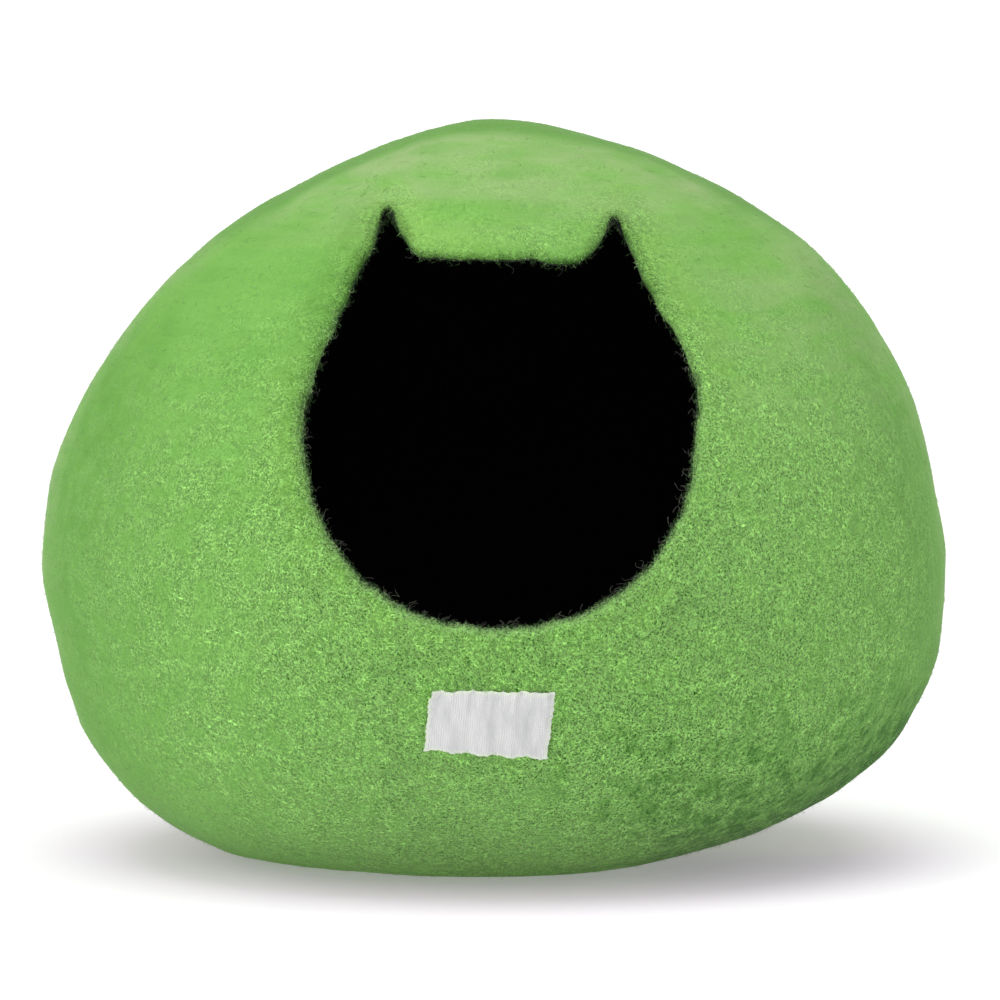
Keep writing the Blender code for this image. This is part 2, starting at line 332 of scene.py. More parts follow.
@dataclass(frozen=True)
class CaveForm:
    """The cave's form: a lopsided dome read from level sections, pressed flat where it stands."""

    wall: float = 8.0 * MM
    core_height: float = 170.0 * MM
    press: float = 7.0 * MM
    roundness: float = 2.1
    # the surface is found by halving a way of this length so many times, and its slope by such side steps
    farthest: float = 0.5
    halvings: int = 30
    side_step: float = 0.01
    unevenness: Unevenness = Unevenness()
    # height, left, right, front, back in millimetres
    sections: tuple[tuple[float, ...], ...] = (
        (-16.0, 0.0, 0.0, 0.0, 0.0),
        (-9.0, 84.0, 38.0, 66.0, 76.0),
        (0.0, 130.0, 82.0, 108.0, 116.0),
        (8.0, 150.5, 113.0, 136.0, 141.0),
        (20.0, 169.5, 147.5, 163.0, 165.0),
        (40.0, 191.0, 183.5, 190.5, 190.0),
        (70.0, 211.5, 211.0, 211.0, 210.0),
        (110.0, 223.5, 229.0, 220.5, 220.5),
        (150.0, 231.0, 231.0, 220.0, 221.5),
        (190.0, 226.5, 225.5, 209.0, 217.0),
        (230.0, 212.0, 215.5, 192.5, 204.0),
        (270.0, 187.0, 195.0, 168.0, 181.0),
        (310.0, 149.0, 163.0, 133.0, 145.0),
        (341.0, 103.5, 115.5, 101.0, 105.0),
        (356.0, 74.0, 82.0, 82.0, 78.0),
        (366.5, 47.5, 50.0, 60.0, 54.0),
        (376.0, 0.0, 0.0, 0.0, 0.0),
    )
    # azimuth, slope, azimuth and slope at the end, in degrees; half-width and height in millimetres
    folds: tuple[tuple[float, ...], ...] = (
        (-50.0, 58.0, 52.0, 56.0, 18.0, 2.5),
        (72.0, -24.0, 96.0, -30.0, 22.0, 2.0),
        (-100.0, -14.0, -84.0, -36.0, 26.0, 2.0),
        (-30.0, -24.0, 34.0, -26.0, 30.0, -1.5),
    )
    fold_radius: float = 200.0

    @property
    def core(self) -> Array:
        """Return the point that the surface is spread around."""
        return np.array((0.0, 0.0, self.core_height))

    def reach(self, height: Array, column: int) -> Array:
        """Read how far the level sections reach.

        Args:
            height: heights in metres.
            column: the table's column: left, right, front or back.

        Returns:
            Distances from the middle in metres.
        """
        table = np.array(self.sections).T * MM
        places, values = table[0], table[column] ** 2
        step = np.diff(places)
        slope = np.diff(values) / step
        product, total = slope[:-1] * slope[1:], slope[:-1] + slope[1:]
        tangent = np.zeros(len(places))
        tangent[0], tangent[-1] = slope[0], slope[-1]
        same_way = product > 0.0
        tangent[1:-1][same_way] = 2.0 * product[same_way] / total[same_way]
        row = np.clip(np.searchsorted(places, height) - 1, 0, len(step) - 1)
        t = np.clip((height - places[row]) / step[row], 0.0, 1.0)
        straight = values[row] * (1 + 2 * t) * (1 - t) ** 2 + values[row + 1] * t * t * (3 - 2 * t)
        square = straight + step[row] * t * (1 - t) * (tangent[row] * (1 - t) - tangent[row + 1] * t)
        return np.sqrt(np.maximum(square, 1e-12))

    def is_outside(self, points: Array) -> Array:
        """Tell which points lie outside the body before the floor presses it.

        Args:
            points: places in metres.

        Returns:
            Whether each lies outside.
        """
        x, y, z = points.T
        across = np.abs(x) / np.where(x < 0, self.reach(z, 1), self.reach(z, 2))
        deep = np.abs(y) / np.where(y < 0, self.reach(z, 3), self.reach(z, 4))
        lowest, highest = self.sections[0][0] * MM, self.sections[-1][0] * MM
        return (z <= lowest) | (z >= highest) | (across**self.roundness + deep**self.roundness > 1.0)

    def direction(self, azimuth: float, slope: float) -> Array:
        """Return the unit vector that points this way from the core, in degrees; azimuth 0 is the front."""
        a, s = math.radians(azimuth), math.radians(slope)
        return np.array((math.sin(a) * math.cos(s), -math.cos(a) * math.cos(s), math.sin(s)))

    def fold_height(self, ways: Array) -> Array:
        """Add up what the folds raise or lower along unit vectors from the core.

        Args:
            ways: unit vectors.

        Returns:
            Heights in metres.
        """
        total = np.zeros(len(ways))
        for azimuth, slope, azimuth_end, slope_end, half_width, height in self.folds:
            start = self.direction(azimuth, slope)
            run = self.direction(azimuth_end, slope_end) - start
            share = np.clip((ways - start) @ run / (run @ run), 0.0, 1.0)
            away = np.linalg.norm(ways - unit(start + share[:, None] * run), axis=1)
            total += height * MM * np.exp(-((away * self.fold_radius / half_width) ** 2))
        return total

    def surface(self, ways: Array, lumps: bool = True) -> Array:
        """Return the outer surface along unit vectors from the core.

        Args:
            ways: unit vectors from the core.
            lumps: whether the felt's unevenness is on it.

        Returns:
            Points in metres, with the belly laid flat on the floor.
        """
        near, far = np.zeros(len(ways)), np.full(len(ways), self.farthest)
        for _ in range(self.halvings):
            middle = (near + far) / 2
            beyond = self.is_outside(self.core + middle[:, None] * ways)
            near, far = np.where(beyond, near, middle), np.where(beyond, middle, far)
        out = near + self.fold_height(ways)
        if lumps:
            out += self.unevenness.read(self.core + out[:, None] * ways)
        points = self.core + out[:, None] * ways
        t = np.clip((points[:, 2] + self.press) / (2 * self.press), 0.0, 1.0)
        points[:, 2] = np.where(points[:, 2] < self.press, self.press * t * t, points[:, 2])
        return points

    def normal(self, ways: Array) -> Array:
        """Work out the normals of the smooth surface along unit vectors from the core.

        Args:
            ways: unit vectors.

        Returns:
            Unit normals that point outwards.
        """
        side = unit(np.cross((0.0, 0.0, 1.0), ways))
        steps = (0.0, self.side_step * side, self.side_step * np.cross(ways, side))
        here, beside, above = (self.surface(unit(ways + step), lumps=False) for step in steps)
        return unit(np.cross(beside - here, above - here))

    def from_front(self, places: Array) -> Array:
        """Work out the ways from the core to places that are seen on the front.

        Args:
            places: across and height of each, in metres.

        Returns:
            Unit vectors.
        """
        across, height = places.T
        side = np.where(across < 0, self.reach(height, 1), self.reach(height, 2))
        level = 1.0 - (np.abs(across) / side) ** self.roundness
        front = -self.reach(height, 3) * level ** (1.0 / self.roundness)
        return unit(np.stack((across, front, height), axis=-1) - self.core)


@dataclass(frozen=True)
class CatMouth:
    """The mouth's outline seen from the front: a bowl, with a cat's ears and a brow over it."""

    across: float = 3.0 * MM
    height: float = 232.0 * MM
    bowl_half: float = 95.0 * MM
    bowl_depth: float = 96.0 * MM
    bowl_roundness: float = 2.2
    bowl_points: int = 25
    # each ear in millimetres from the mouth's middle, from the bowl up its outer side
    left_outside: Pairs = (
        (93.8, 7.0), (92.0, 14.5), (89.4, 22.0), (86.6, 29.0), (83.8, 36.0), (80.8, 43.0), (77.8, 50.0),
        (74.4, 57.3), (71.0, 64.4), (68.0, 71.6), (65.2, 77.5), (62.6, 83.0), (59.8, 89.0),
    )
    right_outside: Pairs = (
        (96.6, 7.0), (96.4, 14.4), (94.6, 21.5), (91.8, 28.7), (88.2, 35.8), (84.1, 43.0), (79.8, 50.1),
        (75.4, 57.3), (71.2, 64.4), (67.8, 71.0), (65.2, 77.0), (62.8, 82.0), (60.2, 87.0),
    )
    # and from its tip down its inner side to the brow
    left_inside: Pairs = (
        (51.6, 92.8), (49.5, 89.3), (47.2, 86.0), (44.8, 82.6), (42.0, 79.6), (37.5, 77.0), (31.0, 75.8),
        (22.0, 75.5), (11.0, 75.4),
    )
    right_inside: Pairs = (
        (53.2, 89.0), (51.0, 86.2), (48.9, 83.4), (46.6, 80.6), (43.8, 77.8), (39.0, 75.0), (32.0, 73.4),
        (22.0, 74.4), (11.0, 75.3),
    )
    left_tip: tuple[float, float] = (55.2, 95.4)
    right_tip: tuple[float, float] = (56.4, 91.2)
    tip_radius: float = 1.8
    tip_turn: tuple[float, float] = (20.0, 150.0)
    tip_points: int = 5
    tip_stretch: float = 1.6
    brow: float = 75.5
    # how the edge wanders, as waves round the mouth, height in millimetres and shift
    wander: tuple[tuple[int, float, float], ...] = ((17, 0.3, 0.4), (29, 0.3, 1.9), (43, 0.25, 4.1))
    # where the edge is soft: from one height to another, and less to the left; and where the ears' sides are
    soft_height_mm: tuple[float, float] = (265.0, 300.0)
    soft_left_mm: tuple[float, float] = (-50.0, -80.0)
    soft_left: float = 0.4
    ear_side_mm: tuple[float, float] = (34.0, 46.0)
    ear_height_mm: tuple[float, float] = (268.0, 296.0)

    def ear(self, side: int) -> Array:
        """Draw one ear's edge from the bowl over its tip to the brow.

        Args:
            side: -1 for the left ear and 1 for the right.

        Returns:
            Pairs in metres from the mouth's middle.
        """
        left = (self.left_outside, self.left_tip, self.left_inside)
        right = (self.right_outside, self.right_tip, self.right_inside)
        outside, middle, inside = left if side < 0 else right
        turns = np.radians(np.linspace(*self.tip_turn, self.tip_points))
        tip = np.array(middle) + self.tip_radius * np.stack((np.cos(turns), np.sin(turns)), axis=1)
        return np.concatenate((outside, tip, inside)) * (side * MM, MM)

    def from_tips(self, points: Array) -> Array:
        """Measure how far each point lies from the nearer ear's tip.

        Args:
            points: places in metres.

        Returns:
            Distances in millimetres, with sideways steps stretched, and 1000 at the back.
        """
        tips = np.array((self.left_tip, self.right_tip)) * ((-MM, MM), (MM, MM)) + (self.across, self.height)
        steps = (points[:, None, ::2] - tips) * (self.tip_stretch, 1.0)
        return np.where(points[:, 1] < 0, np.linalg.norm(steps, axis=2).min(axis=1), 1.0) / MM

    def soft(self, points: Array) -> Array:
        """Return how softly the green fades to black: most at the brow and the ears, less on the left."""
        x, _, z = points.T / MM
        return np.maximum(ease(z, *self.soft_height_mm), self.soft_left * ease(x, *self.soft_left_mm))

    def ears(self, points: Array) -> Array:
        """Return 1 for points of the front beside the ears, and less below and between them."""
        beside = ease(np.abs(points[:, 0] - self.across) / MM, *self.ear_side_mm)
        return beside * ease(points[:, 2] / MM, *self.ear_height_mm) * (points[:, 1] < 0)

    def bowl(self) -> Array:
        """Draw the bowl's edge from its left end round to its right end.

        Returns:
            Pairs in metres from the mouth's middle.
        """
        turns = np.linspace(math.pi, 2 * math.pi, self.bowl_points)
        power = 2.0 / self.bowl_roundness
        across = self.bowl_half * np.sign(np.cos(turns)) * np.abs(np.cos(turns)) ** power
        return np.stack((across, -self.bowl_depth * np.abs(np.sin(turns)) ** power), axis=1)

    def outline(self, finer: int) -> tuple[Array, Array]:
        """Return the whole outline from the brow's middle to the left and round, and the ways into the mouth.

        Args:
            finer: how many steps one step of the tables becomes.

        Returns:
            Pairs as across and height, and unit directions in the same plane.
        """
        brow = np.array(((0.0, self.brow * MM),))
        line = np.concatenate((brow, self.ear(-1)[::-1], self.bowl(), self.ear(1)))
        line = bent(line + (self.across, self.height), finer)
        along = tangents(line)
        into = np.stack((-along[:, 1], along[:, 0]), axis=1)
        lengths = np.linalg.norm(np.roll(line, -1, axis=0) - line, axis=1)
        turn = 2 * math.pi * np.cumsum(lengths) / lengths.sum()
        for count, height, shift in self.wander:
            line = line + height * MM * np.sin(count * turn + shift)[:, None] * into
        return line, into


@dataclass(frozen=True)
class Meridians:
    """Rings of directions that march from the mouth's rolled edge to the middle of the back."""

    rings: int = 166
    growth: float = 1.0066
    moves: int = 2
    draw: float = 0.0012
    round_from: float = 0.1
    round_over: float = 0.5
    finer: int = 5

    def march(self, ring: Array, distance: float) -> Array:
        """Move a flat ring out and ease its sharper bends.

        Args:
            ring: the ring's points.
            distance: how far to move it.

        Returns:
            The new ring.
        """
        count = np.fft.fftfreq(len(ring)) * len(ring)
        kept = np.exp(-self.draw * np.maximum(count**2 - 1, 0))
        for _ in range(self.moves):
            along = tangents(ring)
            ring = ring + distance / self.moves * np.stack((along[:, 1], -along[:, 0]), axis=1)
            eased = np.fft.ifft(np.fft.fft(ring[:, 0] + 1j * ring[:, 1]) * kept)
            ring = np.stack((eased.real, eased.imag), axis=1)
        return ring

    def directions(self, form: CaveForm, mouth: CatMouth) -> Array:
        """Return the rings of unit vectors, from where the edge starts to roll to the middle of the back.

        Args:
            form: the cave's form.
            mouth: the mouth, whose outline is where the rolled edge ends as seen from the front.

        Returns:
            An array of rings by points by three.
        """
        line, into = mouth.outline(self.finer)
        sideways = form.normal(form.from_front(line))[:, ::2]
        start = form.from_front(line + form.wall / 2 * (sideways - into))
        axis = form.from_front(np.array(((mouth.across, mouth.height),)))[0]
        right = unit(np.cross((0.0, 0.0, 1.0), axis))
        up = np.cross(axis, right)
        angle, turn = np.arccos(start @ axis), np.unwrap(np.arctan2(start @ right, start @ up))
        mean = angle.mean()
        even = turn[0] - math.tau * np.arange(len(turn)) / len(turn)
        steps = self.growth ** np.arange(self.rings)
        shares = np.cumsum(steps) / steps.sum()
        ring = angle[:, None] * np.stack((np.sin(turn), np.cos(turn)), axis=1)
        rings, done = [ring], 0.0
        for share in shares:
            ring = self.march(ring, (share - done) * (math.pi - mean))
            angle = np.linalg.norm(ring, axis=1)
            turn = np.unwrap(np.arctan2(ring[:, 0], ring[:, 1]))
            rounding = ease(share, self.round_from, self.round_from + self.round_over) ** 3
            angle = angle + rounding * (mean + (math.pi - mean) * share - angle)
            turn = turn + rounding * (even - turn)
            ring, done = angle[:, None] * np.stack((np.sin(turn), np.cos(turn)), axis=1), share
            rings.append(ring)
        flat = np.array(rings)
        angle = np.linalg.norm(flat, axis=2, keepdims=True)
        outwards = (flat[..., :1] * right + flat[..., 1:] * up) / angle
        return np.cos(angle) * axis + np.sin(angle) * outwards


# ---------------------------------------------------------------- finishes


@dataclass(frozen=True)
class Spots:
    """Soft spots of noise: how wide and tall they are, and which values of the noise read 0 and 1."""

    wide_mm: float
    tall_mm: float
    zero_at: float
    one_at: float

    def draw(self, add: Adder, mm: Socket) -> Socket:
        """Draw the spots.

        Args:
            add: what adds a node.
            mm: coordinates in millimetres.

        Returns:
            Shares from 0 to 1.
        """
        scale = (1 / self.wide_mm, 1 / self.wide_mm, 1 / self.tall_mm)
        noise = add("Mapping", {"Vector": mm, "Scale": scale})
        noise = add("TexNoise", {"Vector": noise, "Scale": 1.0, "Detail": 3.0})
        return add("MapRange", {0: noise, 1: self.zero_at, 2: self.one_at}, interpolation_type="SMOOTHSTEP")


@dataclass(frozen=True)
class WoolFelt:
    """Wet-felted sheep's wool, dyed leaf green outside and charcoal black inside.

    Matted fibres scatter light every way, so it is fully rough, with a soft pale sheen at its edges. The
    eye sees a tangle of thin curly fibres over darker gaps, small clumps, patches where the dye took
    unevenly, and faint streaks the way the wool was rubbed. A pale sheen is painted over the top and the
    sides, and shade is painted past the crest, low on the right, at the foot, under the brow, beside the
    mouth and on the flanks. The mesh's attributes say where each is.
    """

    green: str = "73aa51"
    black: str = "060607"
    sheen: str = "e6eede"
    # each tint over the green, with how strongly it shows
    shaded: Tint = ("68a048", 0.7)
    fresh: Tint = ("7cb256", 0.45)
    warm: Tint = ("8cbf58", 0.6)
    # painted sheen: a pale grey veil over the top and the sides
    haze: Tint = ("9db27f", 0.75)
    # painted shade: low on the right, along the foot, under the brow, beside the mouth and on the flanks
    deep: Tint = ("1f5410", 0.7)
    # painted shade on the band just past the top's crest
    crest: Tint = ("649448", 0.8)
    pit: Tint = ("1f5410", 0.25)
    gap: Tint = ("1c5602", 1.35)
    fibre: Tint = ("b9fe86", 2.1)
    # real fibres are 0.03 mm thick, too fine to show, so curls about 0.3 mm thick are drawn, this far apart
    fibre_mm: tuple[float, float] = (0.9, 2.5)
    fibre_share: float = 0.055
    # each set of curls: its slant in degrees, and how much longer and farther apart its curls are
    curls: Pairs = ((32.0, 1.0), (-41.0, 1.2), (84.0, 1.5), (-12.0, 2.4), (55.0, 3.0))
    curls_apart: float = 57.0
    gaps: Spots = Spots(0.75, 1.4, 0.6, 0.34)
    clumps: Spots = Spots(3.8, 6.6, 0.56, 0.36)
    clusters: Spots = Spots(13.0, 13.0, 0.36, 0.6)
    patches: Spots = Spots(34.0, 34.0, 0.36, 0.66)
    mottle: Spots = Spots(45.45, 11.11, 0.25, 0.7)
    level_streaks: Spots = Spots(55.56, 6.25, 0.38, 0.68)
    upright_streaks: Spots = Spots(5.0, 28.57, 0.38, 0.68)
    # how much streaks vary the painted shade, clusters vary the tangle, and the painted shade calms it, each
    # with its level
    painted_shade_by_streaks: tuple[float, float] = (0.6, 0.7)
    tangle_by_clusters: tuple[float, float] = (0.8, 0.42)
    tangle_by_painted_shade: tuple[float, float] = (-0.35, 1.0)
    # the ragged line between green and black
    ragged_per_mm: float = 1.1
    ragged_from: tuple[float, float] = (0.15, 0.85)
    grain_height_mm: float = 0.8
    clump_height_mm: float = 0.9
    streak_height_mm: float = 0.35

    def material(self) -> bpy.types.Material:
        """Build the felt, from the tangle up to its tints and its relief.

        Returns:
            The material.
        """
        made, add = new_material("wet_felted_wool")
        place = add("TexCoord", out="Object")
        mm = add("Mapping", {"Vector": place, "Scale": (1 / MM,) * 3})
        # three of these shares carry painted light: a pale painted sheen, and painted shade in crest and deep
        rough, crest, warm, haze, deep, inner, side = (
            add("Attribute", out="Fac", attribute_name=name)
            for name in ("rough", "crest", "warm", "haze", "deep", "inner", "upright_share")
        )
        gaps, clumps, clusters, patches, mottle, level, upright = (
            spots.draw(add, mm)
            for spots in (
                self.gaps, self.clumps, self.clusters, self.patches,
                self.mottle, self.level_streaks, self.upright_streaks,
            )
        )
        streaks = add("Mix", {0: side, 2: level, 3: upright}, data_type="FLOAT")
        shade, tangle = (
            add("Math", {0: share, 1: more, 2: level}, operation="MULTIPLY_ADD")
            for share, (more, level) in ((streaks, self.painted_shade_by_streaks), (clusters, self.tangle_by_clusters))
        )
        # the painted shade is broken up by the streaks, and calms the tangle where it lies
        deep = add("Math", {0: deep, 1: shade}, operation="MULTIPLY")
        less, level = self.tangle_by_painted_shade
        calm = add("Math", {0: deep, 1: less, 2: level}, operation="MULTIPLY_ADD", use_clamp=True)
        for share in (rough, calm):
            tangle = add("Math", {0: tangle, 1: share}, operation="MULTIPLY")
        clumps, haze, gaps, grain = (
            add("Math", {0: share, 1: by}, operation="MULTIPLY")
            for share, by in ((clumps, rough), (haze, mottle), (gaps, tangle), (self._grain(add, mm), tangle))
        )

        colour = linear(self.green)
        for share, (tint, strength) in (
            (patches, self.shaded),
            (streaks, self.fresh),
            (warm, self.warm),
            (haze, self.haze),
            (deep, self.deep),
            (crest, self.crest),
            (clumps, self.pit),
            (gaps, self.gap),
            (grain, self.fibre),
        ):
            share = add("Math", {0: share, 1: strength}, operation="MULTIPLY", use_clamp=True)
            colour = add("Mix", {0: share, 6: colour, 7: linear(tint)}, 2, data_type="RGBA")
        ragged = add("TexNoise", {"Vector": mm, "Scale": self.ragged_per_mm, "Detail": 3.0})
        for by in (ragged, -0.5):
            inner = add("Math", {0: inner, 1: by}, operation="ADD")
        low, high = self.ragged_from
        inner = add("MapRange", {0: inner, 1: low, 2: high}, interpolation_type="SMOOTHSTEP")
        colour = add("Mix", {0: inner, 6: colour, 7: linear(self.black)}, 2, data_type="RGBA")

        relief = 0.0
        for share, height in (
            (grain, self.grain_height_mm),
            (clumps, -self.clump_height_mm),
            (streaks, self.streak_height_mm),
        ):
            relief = add("Math", {0: share, 1: height, 2: relief}, operation="MULTIPLY_ADD")
        surface = {
            "Base Color": colour,
            "Roughness": 1.0,
            "Specular IOR Level": 0.05,
            "Sheen Weight": 0.2,
            "Sheen Roughness": 0.2,
            "Sheen Tint": linear(self.sheen),
            "Normal": add("Bump", {"Strength": 1.0, "Distance": MM, "Height": relief}),
        }
        return dressed(made, surface)

    def _grain(self, add: Adder, mm: Socket) -> Socket:
        """Draw thin curls that cross each other, as lines where slanting stretched noises pass their middle.

        Args:
            add: what adds a node.
            mm: coordinates in millimetres.

        Returns:
            Shares, 1 along the middle of each curl.
        """
        top = 0.0
        for number, (turn, longer) in enumerate(self.curls):
            wide, long = (longer * size for size in self.fibre_mm)
            turned = (0.3 * number, math.radians(turn), 0.4)
            moved = (self.curls_apart * number,) * 3
            slant = add("Mapping", {"Vector": mm, "Rotation": turned, "Location": moved})
            slant = add("Mapping", {"Vector": slant, "Scale": (1 / wide, 1 / wide, 1 / long)})
            line = add("TexNoise", {"Vector": slant, "Scale": 1.0, "Detail": 1.0})
            line = add("Math", {0: line, 1: 0.5}, operation="SUBTRACT")
            line = add("Math", {0: line}, operation="ABSOLUTE")
            line = add("MapRange", {0: line, 1: self.fibre_share / longer, 2: 0.0})
            top = add("Math", {0: line, 1: top}, operation="MAXIMUM")
        return top


@dataclass(frozen=True)
class PlainWool:
    """One tone of wool or thread, dyed through: it has one colour, and the variety lies between tones."""

    name: str
    colour: str
    sheen: float = 0.25

    def material(self) -> bpy.types.Material:
        """Build the plain matte material.

        Returns:
            The material.
        """
        surface = {
            "Base Color": linear(self.colour),
            "Roughness": 0.9,
            "Specular IOR Level": 0.15,
            "Sheen Weight": self.sheen,
            "Sheen Roughness": 0.5,
        }
        return dressed(new_material(self.name)[0], surface)


class FibreTone(Enum):
    """The tones of loose fibre on the cave, by what they are, and a lighter and a darker copy of the green
    for painted light and painted shade.
    """

    # a lighter copy of the green fibre, as painted light on the lit fuzz at the mouth's edge
    BRIGHT = PlainWool("bright_green_wool_fibre", "bfeb9c", 0.1)
    LIGHT = PlainWool("light_green_wool_fibre", "98cc76", 0.1)
    MIDDLE = PlainWool("leaf_green_wool_fibre", "7fb55c", 0.1)
    PALE = PlainWool("pale_wool_guard_hair", "a3bd8c", 0.1)
    GREY = PlainWool("grey_wool_hair", "7f8276", 0.1)
    # a darker copy of the green fibre, as painted shade on the fuzz where the edge rolls in
    SHADED = PlainWool("shaded_green_wool_fibre", "3f5f30", 0.05)
    CHARCOAL = PlainWool("charcoal_wool_fibre", "2c2c2b", 0.05)


@dataclass(frozen=True)
class WovenTape:
    """Plain-woven polyester label tape: pale grey, with a fine upright thread grain and a low satin gloss.

    The real threads are 0.2 mm apart, too fine to show, so they are drawn 1.1 mm apart.
    """

    ground: str = "dbdbda"
    thread: str = "c5c6c6"
    # the streaks' grey: part soil, part painted shade of the tape's folds
    warm: str = "a2a4a5"
    edge: str = "d6e4c6"
    thread_mm: float = 1.1
    thread_height_mm: float = 0.07
    # how far the threads stray, and how often along the upright and the level ones
    stray_mm: float = 1.5
    stray_per_mm: tuple[float, float] = (0.25, 0.2)
    level_threads: float = 0.4
    soil_and_fold_shade_mm: float = 9.0
    frayed_per_mm: float = 0.9

    def material(self) -> bpy.types.Material:
        """Build the material, which follows the label's own UV map in centimetres.

        Returns:
            The material.
        """
        made, add = new_material("woven_polyester_tape")
        lie = add("UVMap", uv_map="weave")
        mm = add("Mapping", {"Vector": lie, "Scale": (10.0, 10.0, 1.0)})
        threads = []
        for axis, often in zip("XY", self.stray_per_mm):
            along = add("SeparateXYZ", {0: mm}, axis)
            stray = add("TexNoise", {"Vector": mm, "Scale": often, "Detail": 2.0})
            phase = add("Math", {0: stray, 1: self.stray_mm, 2: along}, operation="MULTIPLY_ADD")
            phase = add("Math", {0: phase, 1: math.tau / self.thread_mm}, operation="MULTIPLY")
            threads.append(add("Math", {0: phase}, operation="SINE"))
        upright, level = threads
        relief = add("Math", {0: level, 1: self.level_threads, 2: upright}, operation="MULTIPLY_ADD")
        share = add("MapRange", {0: relief, 1: -1.3, 2: 1.3})
        # darker upright streaks, part soil and part painted shade of the tape's folds
        soil_and_fold_shade = add("Mapping", {"Vector": mm, "Scale": (1.0, 0.35, 1.0)})
        soil_and_fold_shade = add("TexNoise", {"Vector": soil_and_fold_shade, "Scale": 1 / self.soil_and_fold_shade_mm, "Detail": 3.0})
        soil_and_fold_shade = add("MapRange", {0: soil_and_fold_shade, 1: 0.45, 2: 0.75})
        hem = add("Attribute", out="Fac", attribute_name="hem")
        frayed = add("TexNoise", {"Vector": mm, "Scale": self.frayed_per_mm, "Detail": 3.0})
        frayed = add("MapRange", {0: frayed, 1: 0.35, 2: 0.6})
        hem = add("Math", {0: hem, 1: frayed}, operation="MULTIPLY")
        colour = linear(self.ground)
        for amount, other in ((soil_and_fold_shade, self.warm), (share, self.thread), (hem, self.edge)):
            colour = add("Mix", {0: amount, 6: colour, 7: linear(other)}, 2, data_type="RGBA")
        height = self.thread_height_mm * MM
        surface = {
            "Base Color": colour,
            "Roughness": 0.6,
            "Specular IOR Level": 0.35,
            "Sheen Weight": 0.15,
            "Sheen Roughness": 0.4,
            "Normal": add("Bump", {"Strength": 1.0, "Distance": height, "Height": relief}),
        }
        return dressed(made, surface)


# ---------------------------------------------------------------- the shell


@dataclass(frozen=True)
class Step:
    """A soft step over the felt: what it reads, from where to where in millimetres, and its two values.

    With a wander, the felt's unevenness shifts it, so that it leaves no straight border.
    """

    reads: str
    start: float
    end: float
    before: float = 0.0
    after: float = 1.0
    wander: float = 0.0

    def value(self, at: dict[str, Array]) -> Array:
        """Return its value at each point."""
        share = ease(at[self.reads] + self.wander * at["lumps"], self.start, self.end)
        return self.before + (self.after - self.before) * share


Part = tuple[Step, ...]


